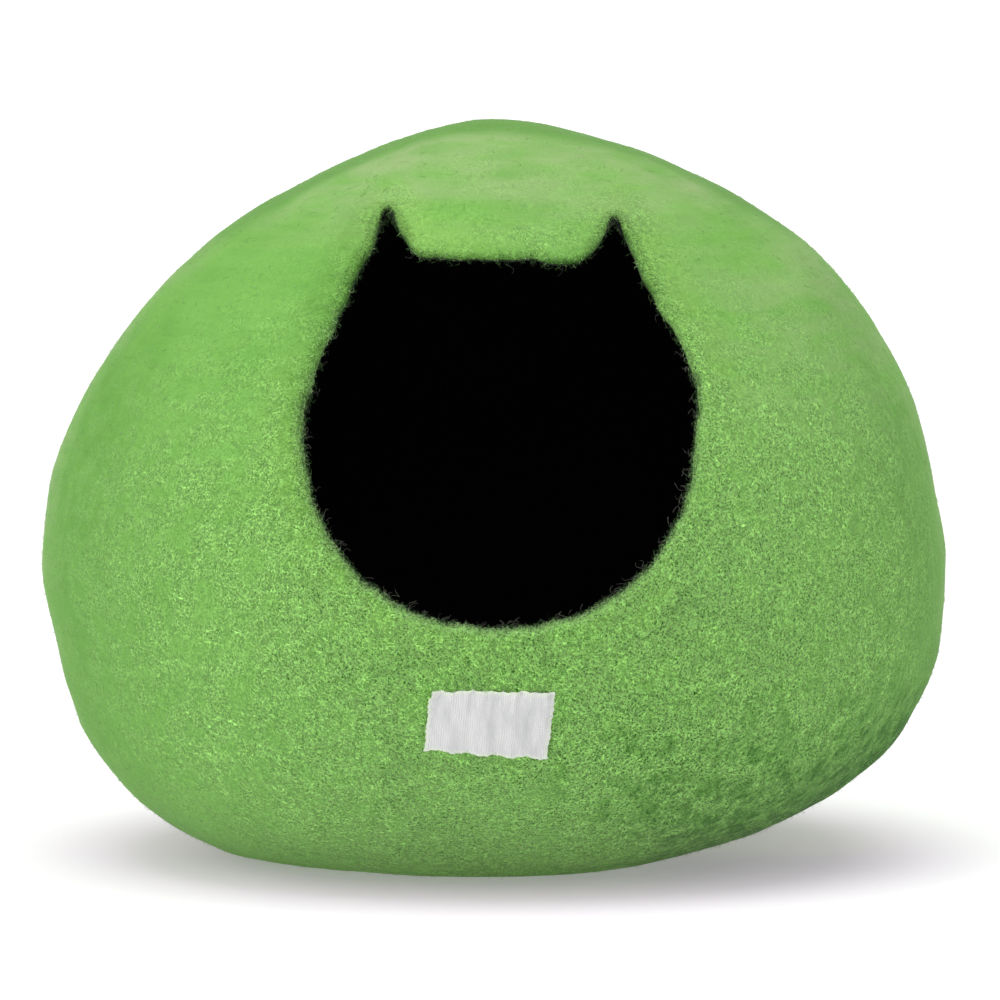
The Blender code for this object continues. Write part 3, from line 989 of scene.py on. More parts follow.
@dataclass(frozen=True)
class FeltMap:
    """Where the felt is rough, even or warm, where a pale sheen and shade are painted on it, and where its
    streaks run upright.

    Each part is bounded by steps that are multiplied. Where one has several parts, the strongest counts.
    """

    unevenness: Unevenness = Unevenness()
    lumps_scale: float = 0.5
    slope: float = 0.6
    # how much the crest smooths and clears, and how the warmth waves: its height, level and reach in mm
    crest_smooths: float = 0.5
    crest_clears: float = 0.8
    warm_waves: float = 0.45
    warm_level: float = 0.55
    warm_reach: tuple[float, float] = (21.0, 33.0)
    # the front bulges towards its right by this much
    right: Part = (Step("x", 60, 170, 0, 10), Step("z", 230, 320, 1, 0))
    behind: Part = (Step("y", -5, 90, 1, 0.3, 18),)
    rough_front: Part = (Step("front", 30, 225), Step("z", 150, 330, 1, 0.15))
    rough_back: Part = (Step("y", -20, 80, 0, 0.42, 20),)
    smooth_left: Part = (Step("x", -30, -130, 1, 0.55),)
    least_rough: float = 0.04
    rough_rim: Part = (Step("x", -60, 60, 0.42, 0.64), Step("z", 230, 300, 1, 0.4), Step("edge", 3, 34, 1, 0))
    # past the crest the felt is even, and shade is painted on it
    crest: Part = (Step("y", -62, -30, wander=10), Step("z", 300, 335, wander=4))
    warm_rim: Part = (Step("edge", 2, 26, 1, 0),)
    # painted sheen: a pale veil over the top, the upper right and the sides
    painted_sheen_top: Part = (Step("z", 300, 355),)
    painted_sheen_right: Part = (Step("x", 40, 160, 0, 0.7), Step("z", 170, 290))
    painted_sheen_sides: Part = (Step("y", -80, 10, 0, 0.8, 22),)
    # painted shade: low on the right, along the foot, under the brow, beside the mouth and on the flanks
    painted_shade_right: Part = (
        Step("slant", 20, 120, 0, 1.65),
        Step("z", 36, 145, 1, 0),
        Step("y", -70, 40, 1, 0, 20),
    )
    painted_shade_foot: Part = (Step("z", 4, 38, 0.8, 0), Step("x", -90, 70), Step("y", -60, 20, 1, 0))
    painted_shade_brow: Part = (Step("z", 285, 305, 0, 0.25), Step("edge", 0, 4, 1, 0))
    painted_shade_rim: Part = (Step("x", -60, 60, 0.5, 0.3), Step("side", 30, 80), Step("edge", 2, 24, 1, 0))
    painted_shade_flank: Part = (Step("x", 0, 100, 0.32, 0.46), Step("side", 140, 205), Step("y", -95, -20, 1, 0, 16))
    upright_right: Part = (Step("x", -90, 40), Step("z", 240, 320, 1, 0))
    upright_low: Part = (Step("z", 50, 110, 1, 0),)

    def shares(self, points: Array, from_edge: Array) -> dict[str, Array]:
        """Return how the felt varies over the shell.

        Args:
            points: places in metres.
            from_edge: how far each lies from the mouth's edge, in metres.

        Returns:
            By name, as shares: rough, the crest's even wool with painted shade, warm, painted sheen, painted
                shade as deep, and with upright streaks.
        """
        x, y, z = points.T / MM
        lumps = self.unevenness.read(self.lumps_scale * points) / MM
        at = {"x": x, "y": y, "z": z, "edge": from_edge / MM, "lumps": lumps}
        at |= {"side": np.abs(x), "slant": x + self.slope * z}

        def strongest(*parts: Part) -> Array:
            """Return the strongest of some parts at each point."""
            return np.maximum.reduce([math.prod(step.value(at) for step in part) for part in parts])

        at["front"] = -y + strongest(self.right)
        behind = strongest(self.behind)
        crest = strongest(self.crest) * behind
        rough = strongest(self.rough_front, self.rough_back)
        rough = (self.least_rough + (1 - self.least_rough) * rough) * strongest(self.smooth_left)
        # a pale painted sheen over the top, the upper right and the sides
        haze = strongest(self.painted_sheen_top, self.painted_sheen_right, self.painted_sheen_sides)
        # where shade is painted
        deep = strongest(self.painted_shade_right, self.painted_shade_foot, self.painted_shade_brow, self.painted_shade_rim, self.painted_shade_flank)
        across, up = self.warm_reach
        warm = self.warm_level + self.warm_waves * np.sin(x / across + z / up)
        return {
            "rough": np.maximum(rough, strongest(self.rough_rim)) * (1 - self.crest_smooths * crest),
            "crest": crest,
            "warm": strongest(self.warm_rim) * warm,
            "haze": haze * (1 - self.crest_clears * crest) * behind,
            "deep": deep,
            "upright_share": strongest(self.upright_right, self.upright_low),
        }


@dataclass
class FeltShell:
    """The seamless shell: outer skin, rolled mouth edge and black inner skin, in one closed mesh."""

    form: CaveForm
    mouth: CatMouth
    felt: FeltMap = FeltMap()
    meridians: Meridians = Meridians()
    edge_steps: int = 12
    inner_every: int = 3
    # where the green turns black: round an ear's tip, and by the edge's roll in degrees, sooner where soft
    tip_mm: tuple[float, float] = (11.5, 1.5)
    black_turns: tuple[float, float] = (96.0, 140.0)
    sooner: tuple[float, float] = (38.0, 10.0)
    # a faint dark band on the skin beside the mouth, its share on the left and beside the ears
    band_mm: tuple[float, float] = (4.0, 0.0)
    band_left_mm: tuple[float, float] = (-50.0, -80.0)
    band_left: float = 0.33
    band_ears: float = 0.36
    # the shade on the soft edge's roll, by its turn in degrees
    shade: float = 1.1
    shade_turns: tuple[float, float] = (18.0, 86.0)
    # where the even down is thinned over the top, and the rough coat where shade is painted
    down_thinned_mm: tuple[float, float] = (270.0, 340.0)
    down_thinned: float = 0.75
    coat_thinned: float = 0.6
    coat_power: float = 1.4
    coat_least: float = 0.05
    # how the edge's fibres gather in tufts, and how many fewer stand high up, by the ears and at the sides
    tuft_scale: float = 0.7
    tuft_mm: tuple[float, float] = (-1.2, 1.0)
    tuft_shares: tuple[float, float] = (0.3, 1.4)
    high_mm: tuple[float, float] = (270.0, 300.0)
    aside_mm: tuple[float, float] = (50.0, 80.0)
    fewer_shares: tuple[float, float, float] = (0.65, 0.9, 0.4)

    def __post_init__(self) -> None:
        """Lay out the outer skin's points and normals."""
        ways = self.meridians.directions(self.form, self.mouth)
        self.around = ways.shape[1]
        self.rings = np.array([self.form.surface(ring) for ring in ways[:-1]])
        self.back = self.form.surface(ways[-1][:1])[0]
        along = np.empty_like(self.rings)
        along[1:-1] = self.rings[2:] - self.rings[:-2]
        along[0] = self.rings[1] - self.rings[0]
        along[-1] = self.back - self.rings[-2]
        around = np.roll(self.rings, -1, axis=1) - np.roll(self.rings, 1, axis=1)
        self.normals = unit(np.cross(along, around))

    def edge_ring(self, turn: float) -> Array:
        """Lay out a ring on the rolled edge.

        Args:
            turn: degrees from the outer skin towards the inner one.

        Returns:
            The ring's points.
        """
        half = self.form.wall / 2
        normal = self.normals[0]
        out = unit(np.cross(normal, tangents(self.rings[0])))
        roll = math.radians(turn)
        return self.rings[0] + half * ((math.cos(roll) - 1) * normal + math.sin(roll) * out)

    def from_edge(self) -> Array:
        """Return how far each point of the outer skin lies from the mouth's edge, ring by ring."""
        steps = np.linalg.norm(np.diff(self.rings, axis=0), axis=2)
        return np.concatenate((np.zeros((1, self.around)), np.cumsum(steps, axis=0)))

    def build(self) -> bpy.types.Object:
        """Build the closed shell and dress it.

        Returns:
            The shell.
        """
        turns = np.linspace(0.0, 180.0, self.edge_steps + 1)[1:]
        edge = [self.edge_ring(turn) for turn in turns]
        inner = (self.rings - self.form.wall * self.normals)[self.inner_every :: self.inner_every]
        inner_back = self.back - self.form.wall * unit(self.back - self.form.core)
        order = [*self.rings[::-1], *edge, *inner]
        points = np.concatenate((*order, self.back[None], inner_back[None]))
        faces = [face[::-1] for face in bands(len(order), self.around)]
        last = (len(order) - 1) * self.around
        back, inner_tip = len(points) - 2, len(points) - 1
        for step in range(self.around):
            after = (step + 1) % self.around
            faces.append((step, back, after))
            faces.append((last + step, last + after, inner_tip))
        black = PlainWool("black_felted_wool", WoolFelt.black, 0.0)
        shell = mesh_object("felt_shell_wool", points, faces, WoolFelt().material(), black.material())
        first = len(self.rings) * self.around
        rolled = first + len(turns) * self.around
        from_edge = np.zeros(len(points))
        from_edge[:first] = self.from_edge()[::-1].ravel()
        from_edge[back] = 1.0
        fields = self.felt.shares(points, from_edge)
        soft, turn = self.mouth.soft(points[first:rolled]), np.repeat(turns, self.around)
        # painted shade on the soft edge's roll, which joins the deep share
        shaded = self.shade * soft * ease(turn, *self.shade_turns)
        fields["deep"][first:rolled] = np.maximum(fields["deep"][first:rolled], shaded)
        fields["inner"] = ease(self.mouth.from_tips(points), *self.tip_mm)
        start, end = (at - sooner * soft for at, sooner in zip(self.black_turns, self.sooner))
        fields["inner"][first:rolled] += ease(turn, start, end)
        fields["inner"][rolled:back] = fields["inner"][inner_tip] = 1.0
        band = ease(from_edge / MM, *self.band_mm)
        left = ease(points[:, 0] / MM, *self.band_left_mm) * (points[:, 1] < 0)
        bands_beside = self.band_left * left * band, self.band_ears * self.mouth.ears(points) * band
        fields["inner"] = np.maximum.reduce((fields["inner"], *bands_beside))
        for name, values in fields.items():
            store(shell, name, values)
        inside = np.arange(len(faces)) >= (len(self.rings) + len(turns) - 1) * self.around
        inside[last::2] = False
        shell.data.polygons.foreach_set("material_index", inside.astype(np.int32))
        return shell

    def skin(self, clear: Array, even: bool = False) -> bpy.types.Object:
        """Make a helper mesh of the outer skin for fibres to be laid on.

        Args:
            clear: how much room for fibres there is at each of its points.
            even: whether smooth places have as many fibres as rough ones.

        Returns:
            The helper, with the comb and coat attributes.
        """
        points, normals = self.rings.reshape(-1, 3), self.normals.reshape(-1, 3)
        helper = mesh_object("skin", points, bands(len(self.rings), self.around))
        fields = self.felt.shares(points, self.from_edge().ravel())
        level = unit(np.cross((0.0, 0.0, 1.0), normals))
        share = fields["upright_share"][:, None]
        store(helper, "comb", unit((1 - share) * level + share * np.cross(normals, level)))
        if even:
            coat = 1 - self.down_thinned * ease(points[:, 2] / MM, *self.down_thinned_mm)
        else:
            coat = self.coat_least + (1 - self.coat_least) * fields["rough"] ** self.coat_power
            coat *= 1 - self.coat_thinned * np.minimum(fields["deep"], 1.0)
        store(helper, "coat", clear * coat)
        return helper

    def edge_skin(self, low: float, high: float, thinned: bool = True, steps: int = 6) -> bpy.types.Object:
        """Make a helper mesh of the rolled edge between two turns in degrees.

        Args:
            low: the turn that it starts at.
            high: the turn that it ends at.
            thinned: whether fewer fibres stand at the sides, the brow and the ears.
            steps: how many rings of points it has.

        Returns:
            The helper, with the comb and coat attributes.
        """
        rings = [self.edge_ring(turn) for turn in np.linspace(low, high, steps)]
        points = np.concatenate(rings)
        helper = mesh_object("edge_skin", points, [face[::-1] for face in bands(steps, self.around)])
        store(helper, "comb", np.tile(tangents(rings[0]), (steps, 1)))
        lumps = self.form.unevenness.read(self.tuft_scale * points) / MM
        least, more = self.tuft_shares
        tufts = least + more * ease(lumps, *self.tuft_mm)
        high_up = ease(points[:, 2] / MM, *self.high_mm)
        aside = ease(np.abs(points[:, 0]) / MM, *self.aside_mm)
        places = zip(self.fewer_shares, (high_up, self.mouth.ears(points), aside))
        fewer = np.maximum.reduce([share * place for share, place in places])
        store(helper, "coat", tufts * (1 - fewer if thinned else 1.0))
        return helper


# ---------------------------------------------------------------- loose fibres


@dataclass(frozen=True)
class FibreKind:
    """A kind of fibre: slim closed spindles along curled lines, of which a few are drawn and repeated."""

    name: str
    length: float
    width: float
    curl: float
    rise: float
    segments: int
    standing: bool = False
    shapes: int = 12
    seed: int = 5
    # how a standing fibre varies: its windings, lean, narrowest curl and bow, and how deep it is rooted
    winds: tuple[float, float] = (0.4, 1.7)
    leans: float = 0.6
    narrowest: float = 0.4
    bows: tuple[float, float] = (-0.6, 0.2)
    root: float = 0.2 * MM

    def draw(self) -> bpy.types.Collection:
        """Draw the shapes as small meshes.

        Returns:
            A collection that the scene doesn't show.
        """
        rng = np.random.default_rng(self.seed)
        group = bpy.data.collections.new(self.name)
        for number in range(self.shapes):
            line = self._standing_line(rng) if self.standing else self._lying_line(rng)
            mesh = bpy.data.meshes.new(f"{self.name}_{number:02d}")
            mesh.from_pydata(*self._spindle(line))
            mesh.shade_smooth()
            group.objects.link(bpy.data.objects.new(mesh.name, mesh))
        return group

    def _lying_line(self, rng: np.random.Generator) -> Array:
        """Draw a curled line that lies along X with its ends in the felt.

        Args:
            rng: the random numbers.

        Returns:
            The line's points.
        """
        t = np.linspace(-0.5, 0.5, self.segments + 1)
        bow, twist = rng.uniform(-1, 1, 2) * self.curl
        side = bow * np.cos(math.pi * t) + twist * np.sin(2 * math.pi * t)
        lift = self.rise * rng.uniform(0.3, 1.0, len(t))
        lift[[0, -1]] = -0.5 * self.rise
        return np.stack((t * self.length, side, lift), axis=1)

    def _standing_line(self, rng: np.random.Generator) -> Array:
        """Draw a curled line that starts in the felt and winds up out of it.

        Args:
            rng: the random numbers.

        Returns:
            The line's points.
        """
        t = np.linspace(0.0, 1.0, self.segments + 1)
        phase = rng.uniform(0, math.tau) + rng.uniform(*self.winds) * math.tau * t
        lean = rng.uniform(-self.leans, self.leans, 2) * self.length
        radius = self.curl * rng.uniform(self.narrowest, 1.0) * t
        up = self.rise * (t + rng.uniform(*self.bows) * t * t) - self.root
        across, deep = lean[0] * t + radius * np.cos(phase), lean[1] * t + radius * np.sin(phase)
        return np.stack((across, deep, up), axis=1)

    def _spindle(self, line: Array) -> tuple[list, list, list]:
        """Build a closed three-sided spindle along a line.

        Args:
            line: the line's points.

        Returns:
            Points, no edges, and faces.
        """
        along = np.gradient(line, axis=0)
        side = unit(np.cross(along, (0.0, 0.0, 1.0)) + (0.0, 1e-6, 0.0))
        over = unit(np.cross(side, along))
        points = [line[0]]
        for i, turn in itertools.product(range(1, len(line) - 1), (0.5, 7 / 6, 11 / 6)):
            offset = math.cos(turn * math.pi) * side[i] + math.sin(turn * math.pi) * over[i]
            points.append(line[i] + self.width / 2 * offset)
        points.append(line[-1])
        last, tip = 1 + 3 * (len(line) - 3), len(points) - 1
        faces = [(0, 1 + (k + 1) % 3, 1 + k) for k in range(3)]
        for low, k in itertools.product(range(1, last, 3), range(3)):
            faces.append((low + k, low + (k + 1) % 3, low + (k + 1) % 3 + 3, low + k + 3))
        faces += [(last + k, last + (k + 1) % 3, tip) for k in range(3)]
        return [tuple(point) for point in points], [], faces


class ShapeTree:
    """A Geometry Nodes tree that sets shapes on spots, with its sizes as named inputs and a seed."""

    def __init__(self, name: str, inputs: dict[str, str]) -> None:
        """Begin the tree with its named inputs.

        Args:
            name: the tree's name.
            inputs: its inputs, each with its kind, before the seed and the finish.
        """
        self.tree: Tree = bpy.data.node_groups.new(name, "GeometryNodeTree")
        self.add: Adder = partial(add_node, self.tree)
        for label, kind in (inputs | {"Seed": "Int", "Finish": "Material"}).items():
            self.tree.interface.new_socket(name=label, in_out="INPUT", socket_type=f"NodeSocket{kind}")
        self.tree.interface.new_socket(name="Made", in_out="OUTPUT", socket_type="NodeSocketGeometry")
        self.given: bpy.types.bpy_prop_collection = self.tree.nodes.new("NodeGroupInput").outputs

    def attribute(self, name: str, kind: str = "FLOAT_VECTOR") -> Socket:
        """Read an attribute that the spots' object brings."""
        return self.add("GeometryNodeInputNamedAttribute", {"Name": name}, data_type=kind)

    def end(self, up: Socket, astray: str, shapes: dict[str, object]) -> Tree:
        """End the tree: set a shape on each spot, upright and along the comb, but turned a little astray.

        Args:
            up: which way is up on each spot.
            astray: the input that says how far a shape turns astray either way, in radians.
            shapes: what the instancing takes, such as the spots, the shapes and their size.

        Returns:
            The whole tree, which gives plain geometry with its finish.
        """
        add, given = self.add, self.given
        turned = add("FunctionNodeAlignRotationToVector", {"Vector": up}, axis="Z")
        along = {"Rotation": turned, "Vector": self.attribute("comb")}
        turned = add("FunctionNodeAlignRotationToVector", along, axis="X", pivot_axis="Z")
        least = add("Math", {0: given[astray], 1: -1.0}, operation="MULTIPLY")
        stray = add("FunctionNodeRandomValue", {2: least, 3: given[astray], 8: given["Seed"]}, 1)
        stray = add("FunctionNodeAxisAngleToRotation", {"Angle": stray})
        both = {"Rotation": turned, "Rotate By": stray}
        turned = add("FunctionNodeRotateRotation", both, rotation_space="LOCAL")
        made = add("GeometryNodeInstanceOnPoints", shapes | {"Rotation": turned})
        made = add("GeometryNodeRealizeInstances", {0: made})
        made = add("GeometryNodeSetMaterial", {"Geometry": made, "Material": given["Finish"]})
        add("NodeGroupOutput", {0: made})
        return self.tree


def lay_tree() -> Tree:
    """Build the Geometry Nodes tree that lays fibres on a skin, as densely as its coat says.

    Returns:
        The tree.
    """
    lay = ShapeTree(
        "lay_fibres",
        {
            "Skin": "Geometry",
            "Shapes": "Collection",
            "Fibres per square metre": "Float",
            "Turn either way": "Float",
            "Smallest": "Float",
            "Largest": "Float",
        },
    )
    add, given = lay.add, lay.given
    coat = lay.attribute("coat", "FLOAT")
    density = add("Math", {0: coat, 1: given["Fibres per square metre"]}, operation="MULTIPLY")
    spread = {"Mesh": given["Skin"], "Density": density, "Seed": given["Seed"]}
    spots = add("GeometryNodeDistributePointsOnFaces", spread, distribute_method="RANDOM")
    seed = add("Math", {0: given["Seed"], 1: 7.0}, operation="ADD")
    size = add("FunctionNodeRandomValue", {2: given["Smallest"], 3: given["Largest"], 8: seed}, 1)
    choice = add("FunctionNodeRandomValue", {4: 0, 5: 999, 8: given["Seed"]}, 2, data_type="INT")
    source = {"Collection": given["Shapes"], "Separate Children": True, "Reset Children": True}
    shapes = add("GeometryNodeCollectionInfo", source)
    picked = {"Instance": shapes, "Pick Instance": True, "Instance Index": choice}
    up = spots.node.outputs["Normal"]
    return lay.end(up, "Turn either way", {"Points": spots, "Scale": size, **picked})


@dataclass
class WoolCoat:
    """All the shell's loose fibres: the coat in its tones, guard hairs, and fuzz and hairs at the mouth."""

    shell: FeltShell
    label: "WovenLabel"
    bare_margin: float = 0.6 * MM

    def build(self) -> list[bpy.types.Object]:
        """Lay every group of fibres.

        Returns:
            One object for each group.
        """
        # length, width, curl and rise, then how many segments
        short = FibreKind("lying_fibre", 4.6 * MM, 0.17 * MM, 0.9 * MM, 0.3 * MM, 3)
        nub = FibreKind("fibre_nub", 2.2 * MM, 0.2 * MM, 0.3 * MM, 0.36 * MM, 2, seed=6)
        guard = FibreKind("guard_hair", 8.0 * MM, 0.1 * MM, 2.4 * MM, 1.1 * MM, 4, seed=8)
        fuzz = FibreKind("mouth_fuzz", 2.2 * MM, 0.13 * MM, 1.1 * MM, 1.7 * MM, 5, True, seed=9)
        hair = FibreKind("mouth_hair", 4.6 * MM, 0.075 * MM, 2.3 * MM, 5.4 * MM, 11, True, 24, 10)
        down = FibreKind("skin_down", 2.2 * MM, 0.2 * MM, 0.7 * MM, 1.7 * MM, 3, True, seed=12)
        points = self.shell.rings.reshape(-1, 3)
        clear = ease(points[:, 2], 1.0 * MM, 9.0 * MM) * self.label.clear_of(points, self.bare_margin)
        whole, even = self.shell.skin(clear), self.shell.skin(clear, even=True)
        edge = self.shell.edge_skin(10.0, 104.0)
        inner_edge = self.shell.edge_skin(80.0, 178.0)
        shaded_edge = self.shell.edge_skin(45.0, 140.0, thinned=False)
        tree = lay_tree()
        drawn = {kind.name: kind.draw() for kind in (short, nub, guard, down, fuzz, hair)}
        made = []
        sizes = ("Fibres per square metre", "Turn either way", "Smallest", "Largest", "Seed")
        for name, skin, kind, tone, *values in (
            ("coat_fibres_light", whole, short, FibreTone.LIGHT, 62000.0, 1.2, 0.6, 1.35, 21),
            ("coat_fibres_middle", whole, short, FibreTone.MIDDLE, 44000.0, 1.6, 0.6, 1.3, 22),
            ("coat_nubs_light", whole, nub, FibreTone.LIGHT, 90000.0, 1.6, 0.6, 1.2, 27),
            ("guard_hairs", whole, guard, FibreTone.PALE, 9000.0, 3.1, 0.5, 1.2, 24),
            ("skin_down", even, down, FibreTone.PALE, 28000.0, 3.1, 0.4, 1.2, 29),
            # the mouth's fuzz in a lighter copy of the green for painted light, and a darker copy for painted
            # shade
            ("mouth_fuzz_green", edge, fuzz, FibreTone.BRIGHT, 850000.0, 3.1, 0.4, 1.3, 25),
            ("mouth_fuzz_shaded", shaded_edge, fuzz, FibreTone.SHADED, 520000.0, 3.1, 0.5, 2.0, 31),
            ("mouth_hairs_charcoal", inner_edge, hair, FibreTone.CHARCOAL, 60000.0, 3.1, 0.3, 1.0, 26),
            ("mouth_hairs_grey", inner_edge, hair, FibreTone.GREY, 130000.0, 3.1, 0.2, 1.3, 28),
        ):
            inputs = {"Shapes": drawn[kind.name], "Finish": tone.value.material(), **dict(zip(sizes, values))}
            made.append(link_object(name, evaluated_mesh(skin, tree, inputs)))
        for helper in (whole, even, edge, inner_edge, shaded_edge):
            bpy.data.objects.remove(helper)
        for group in drawn.values():
            for shape in list(group.objects):
                bpy.data.objects.remove(shape)
            bpy.data.collections.remove(group)
        return made


# ---------------------------------------------------------------- the label


@dataclass
class WovenLabel:
    """The bare woven label: a thin, slightly puckered tape with wavy edges, sewn down all round."""

    form: CaveForm
    # across and height in millimetres: lower left, lower right, upper right, upper left
    corners: Pairs = ((-33.0, 78.0), (25.4, 73.8), (29.4, 106.8), (-30.0, 108.0))
    width_mm: float = 59.0
    height_mm: float = 32.0
    thick: float = 0.7 * MM
    gap: float = 0.3 * MM
    columns: int = 130
    rows: int = 74
    stitch_pitch_mm: float = 4.6
    stitch_inset_mm: float = 1.5
    stitch_radius_mm: float = 0.14
    stitch_slant: float = 0.3
    stitch_seed: int = 17
    # how far past its hole a stitch aims, as a share of the label's side
    stitch_aim: float = 0.02
    # the wavy edges and the folds, as waves in millimetres: height, rate, shift, and rate of the beat
    top_edge: Waves = ((0.2, 0.31, 0.6), (0.14, 1.27, 1.9), (0.1, 2.9, 0.0, 0.7))
    bottom_edge: Waves = ((0.36, 0.43, 2.6), (0.16, 1.5, 0.0), (0.14, 3.1, 0.0, 0.6))
    side_edge: Waves = ((0.2, 0.5, 2.1), (0.2, 1.9, 0.5), (0.2, 3.3, 0.0, 0.9))
    top_folds: Waves = ((0.42, 0.82, 0.4), (0.2, 1.7, 2.0))
    # how far the edge steps in at the upper left, sideways and down
    notch_mm: tuple[float, float] = (0.9, 0.7)
    # how high the tape lies over the felt, how far a stitch pulls it down and how wide, and its least height
    lift_mm: float = 1.2
    pull_mm: float = 0.45
    pull_width_mm: float = 1.2
    least_lift_mm: float = 0.12
    hem_mm: tuple[float, float] = (2.4, 0.2)
    # the tape is thinner over this width at its edge
    rim_mm: float = 0.5
    rim_thin: float = 0.45

    def place(self, u: Array, v: Array) -> Array:
        """Return where the flat label's points are seen from the front.

        Args:
            u: share of the width from the left.
            v: share of the height from the bottom.

        Returns:
            Across and height in metres.
        """
        lower_left, lower_right, upper_right, upper_left = np.array(self.corners) * MM
        lower = lower_left + u[:, None] * (lower_right - lower_left)
        upper = upper_left + u[:, None] * (upper_right - upper_left)
        flat = lower + v[:, None] * (upper - lower)
        x, y = u * self.width_mm, v * self.height_mm
        near_top, near_low = ease(v, 0.75, 1.0), ease(v, 0.25, 0.0)
        near_right, near_left = ease(u, 0.85, 1.0), ease(u, 0.15, 0.0)
        notch, step = self.notch_mm
        notch = notch * ease(v, 0.87, 0.90) * near_left
        step = step * ease(u, 0.21, 0.19) * near_top
        flat[:, 0] += MM * ((near_right - near_left) * waves(y, self.side_edge) + notch)
        flat[:, 1] += MM * (near_top * waves(x, self.top_edge) - near_low * waves(x, self.bottom_edge) - step)
        return flat

    def from_edge_mm(self, u: Array, v: Array) -> Array:
        """Return how far each point lies from the nearest edge, in millimetres."""
        return np.minimum(np.minimum(u, 1 - u) * self.width_mm, np.minimum(v, 1 - v) * self.height_mm)

    def holes(self) -> tuple[Array, Array]:
        """Lay out where the stitches pierce the label.

        Returns:
            Pairs as shares of the label's sides, and the ways over the edge.
        """
        found = []
        for side, along, across in ((0, self.width_mm, self.height_mm), (1, self.height_mm, self.width_mm)):
            count = round(along / self.stitch_pitch_mm)
            inset = self.stitch_inset_mm / across
            for i, end in itertools.product(range(count), (0, 1)):
                t, edge = (i + 0.5) / count, inset if end == 0 else 1 - inset
                way = (0.0, 2.0 * end - 1) if side == 0 else (2.0 * end - 1, 0.0)
                found.append((*((t, edge) if side == 0 else (edge, t)), *way))
        table = np.array(found)
        return table[:, :2], table[:, 2:]

    def clear_of(self, points: Array, margin: float) -> Array:
        """Tell the points under the label from the rest.

        Args:
            points: places on the shell in metres.
            margin: how far under the edge fibres may reach, in metres.

        Returns:
            0 for points under the label and 1 for the rest.
        """
        corners = np.array(self.corners) * MM
        inside = points[:, 1] < 0
        for start, end in zip(corners, np.roll(corners, -1, axis=0)):
            run = unit(end - start)
            inside &= run[0] * (points[:, 2] - start[1]) - run[1] * (points[:, 0] - start[0]) > margin
        return np.where(inside, 0.0, 1.0)

    def height_over(self, u: Array, v: Array) -> Array:
        """Work out how high the underside lies over the felt, puckered where it is sewn.

        Args:
            u: share of the width from the left.
            v: share of the height from the bottom.

        Returns:
            Heights in metres.
        """
        x, y = u * self.width_mm, v * self.height_mm
        slanting = 0.6 * np.sin(x * 0.47 + y * 0.05 + 1.0)
        crossing = 0.34 * np.sin(x * 1.1 + y * 0.3) * np.sin(y * 0.3 + 0.5)
        over = self.lift_mm + slanting + crossing + ease(v, 0.45, 1.0) * (0.25 + waves(x, self.top_folds))
        for hole_u, hole_v in self.holes()[0]:
            away = np.hypot((u - hole_u) * self.width_mm, (v - hole_v) * self.height_mm)
            over -= self.pull_mm * np.exp(-((away / self.pull_width_mm) ** 2))
        over -= self.least_lift_mm * ease(self.from_edge_mm(u, v), 2.0, 0.0)
        return MM * np.maximum(over, self.least_lift_mm)

    def build(self) -> bpy.types.Object:
        """Build the label as a closed thin sheet with a UV map along its weave in centimetres.

        Returns:
            The label.
        """
        sides = (np.linspace(0, 1, count + 1) for count in (self.columns, self.rows))
        u, v = (grid.ravel() for grid in np.meshgrid(*sides))
        ways = self.form.from_front(self.place(u, v))
        under = self.form.surface(ways) + self.height_over(u, v)[:, None] * ways
        edge = self.from_edge_mm(u, v)
        top = under + (self.thick * (1 - self.rim_thin * ease(edge, self.rim_mm, 0.0)))[:, None] * ways
        wide, count = self.columns + 1, len(u)
        faces = []
        for row, column in itertools.product(range(self.rows), range(self.columns)):
            first = row * wide + column
            quad = (first, first + 1, first + wide + 1, first + wide)
            faces += [tuple(count + i for i in quad), quad[::-1]]
        loop = list(range(self.columns))
        loop += [row * wide + self.columns for row in range(self.rows)]
        loop += [self.rows * wide + column for column in range(self.columns, 0, -1)]
        loop += [row * wide for row in range(self.rows, 0, -1)]
        faces += [(a, b, count + b, count + a) for a, b in zip(loop, loop[1:] + loop[:1])]
        label = mesh_object("label_tape", np.concatenate((under, top)), faces, WovenTape().material())
        store(label, "hem", np.tile(ease(edge, *self.hem_mm), 2))
        index = np.empty(len(label.data.loops), int)
        label.data.loops.foreach_get("vertex_index", index)
        lie = np.tile(np.stack((u * self.width_mm, v * self.height_mm), axis=1) / 10, (2, 1))
        label.data.uv_layers.new(name="weave").data.foreach_set("uv", lie[index].ravel())
        return label

    def stitches(self) -> bpy.types.Object:
        """Sew the label down: short thread stitches over its edge, set by Geometry Nodes on its holes.

        Returns:
            All the stitches as one piece.
        """
        holes, outwards = self.holes()
        ways = self.form.from_front(self.place(*holes.T))
        beyond = self.form.surface(self.form.from_front(self.place(*(holes + self.stitch_aim * outwards).T)))
        here = self.form.surface(ways)
        anchors = mesh_object("stitch_holes", here + (self.gap + self.thick) * ways, [])
        store(anchors, "comb", unit(beyond - here))
        store(anchors, "upright", ways)
        inputs = {
            "Stitch": self._one_stitch(),
            "Slant": self.stitch_slant,
            "Seed": self.stitch_seed,
            "Finish": PlainWool("white_sewing_thread", "cbc8cc", 0.1).material(),
        }
        made = link_object("label_stitches", evaluated_mesh(anchors, sew_tree(), inputs))
        for helper in (anchors, inputs["Stitch"]):
            bpy.data.objects.remove(helper)
        return made

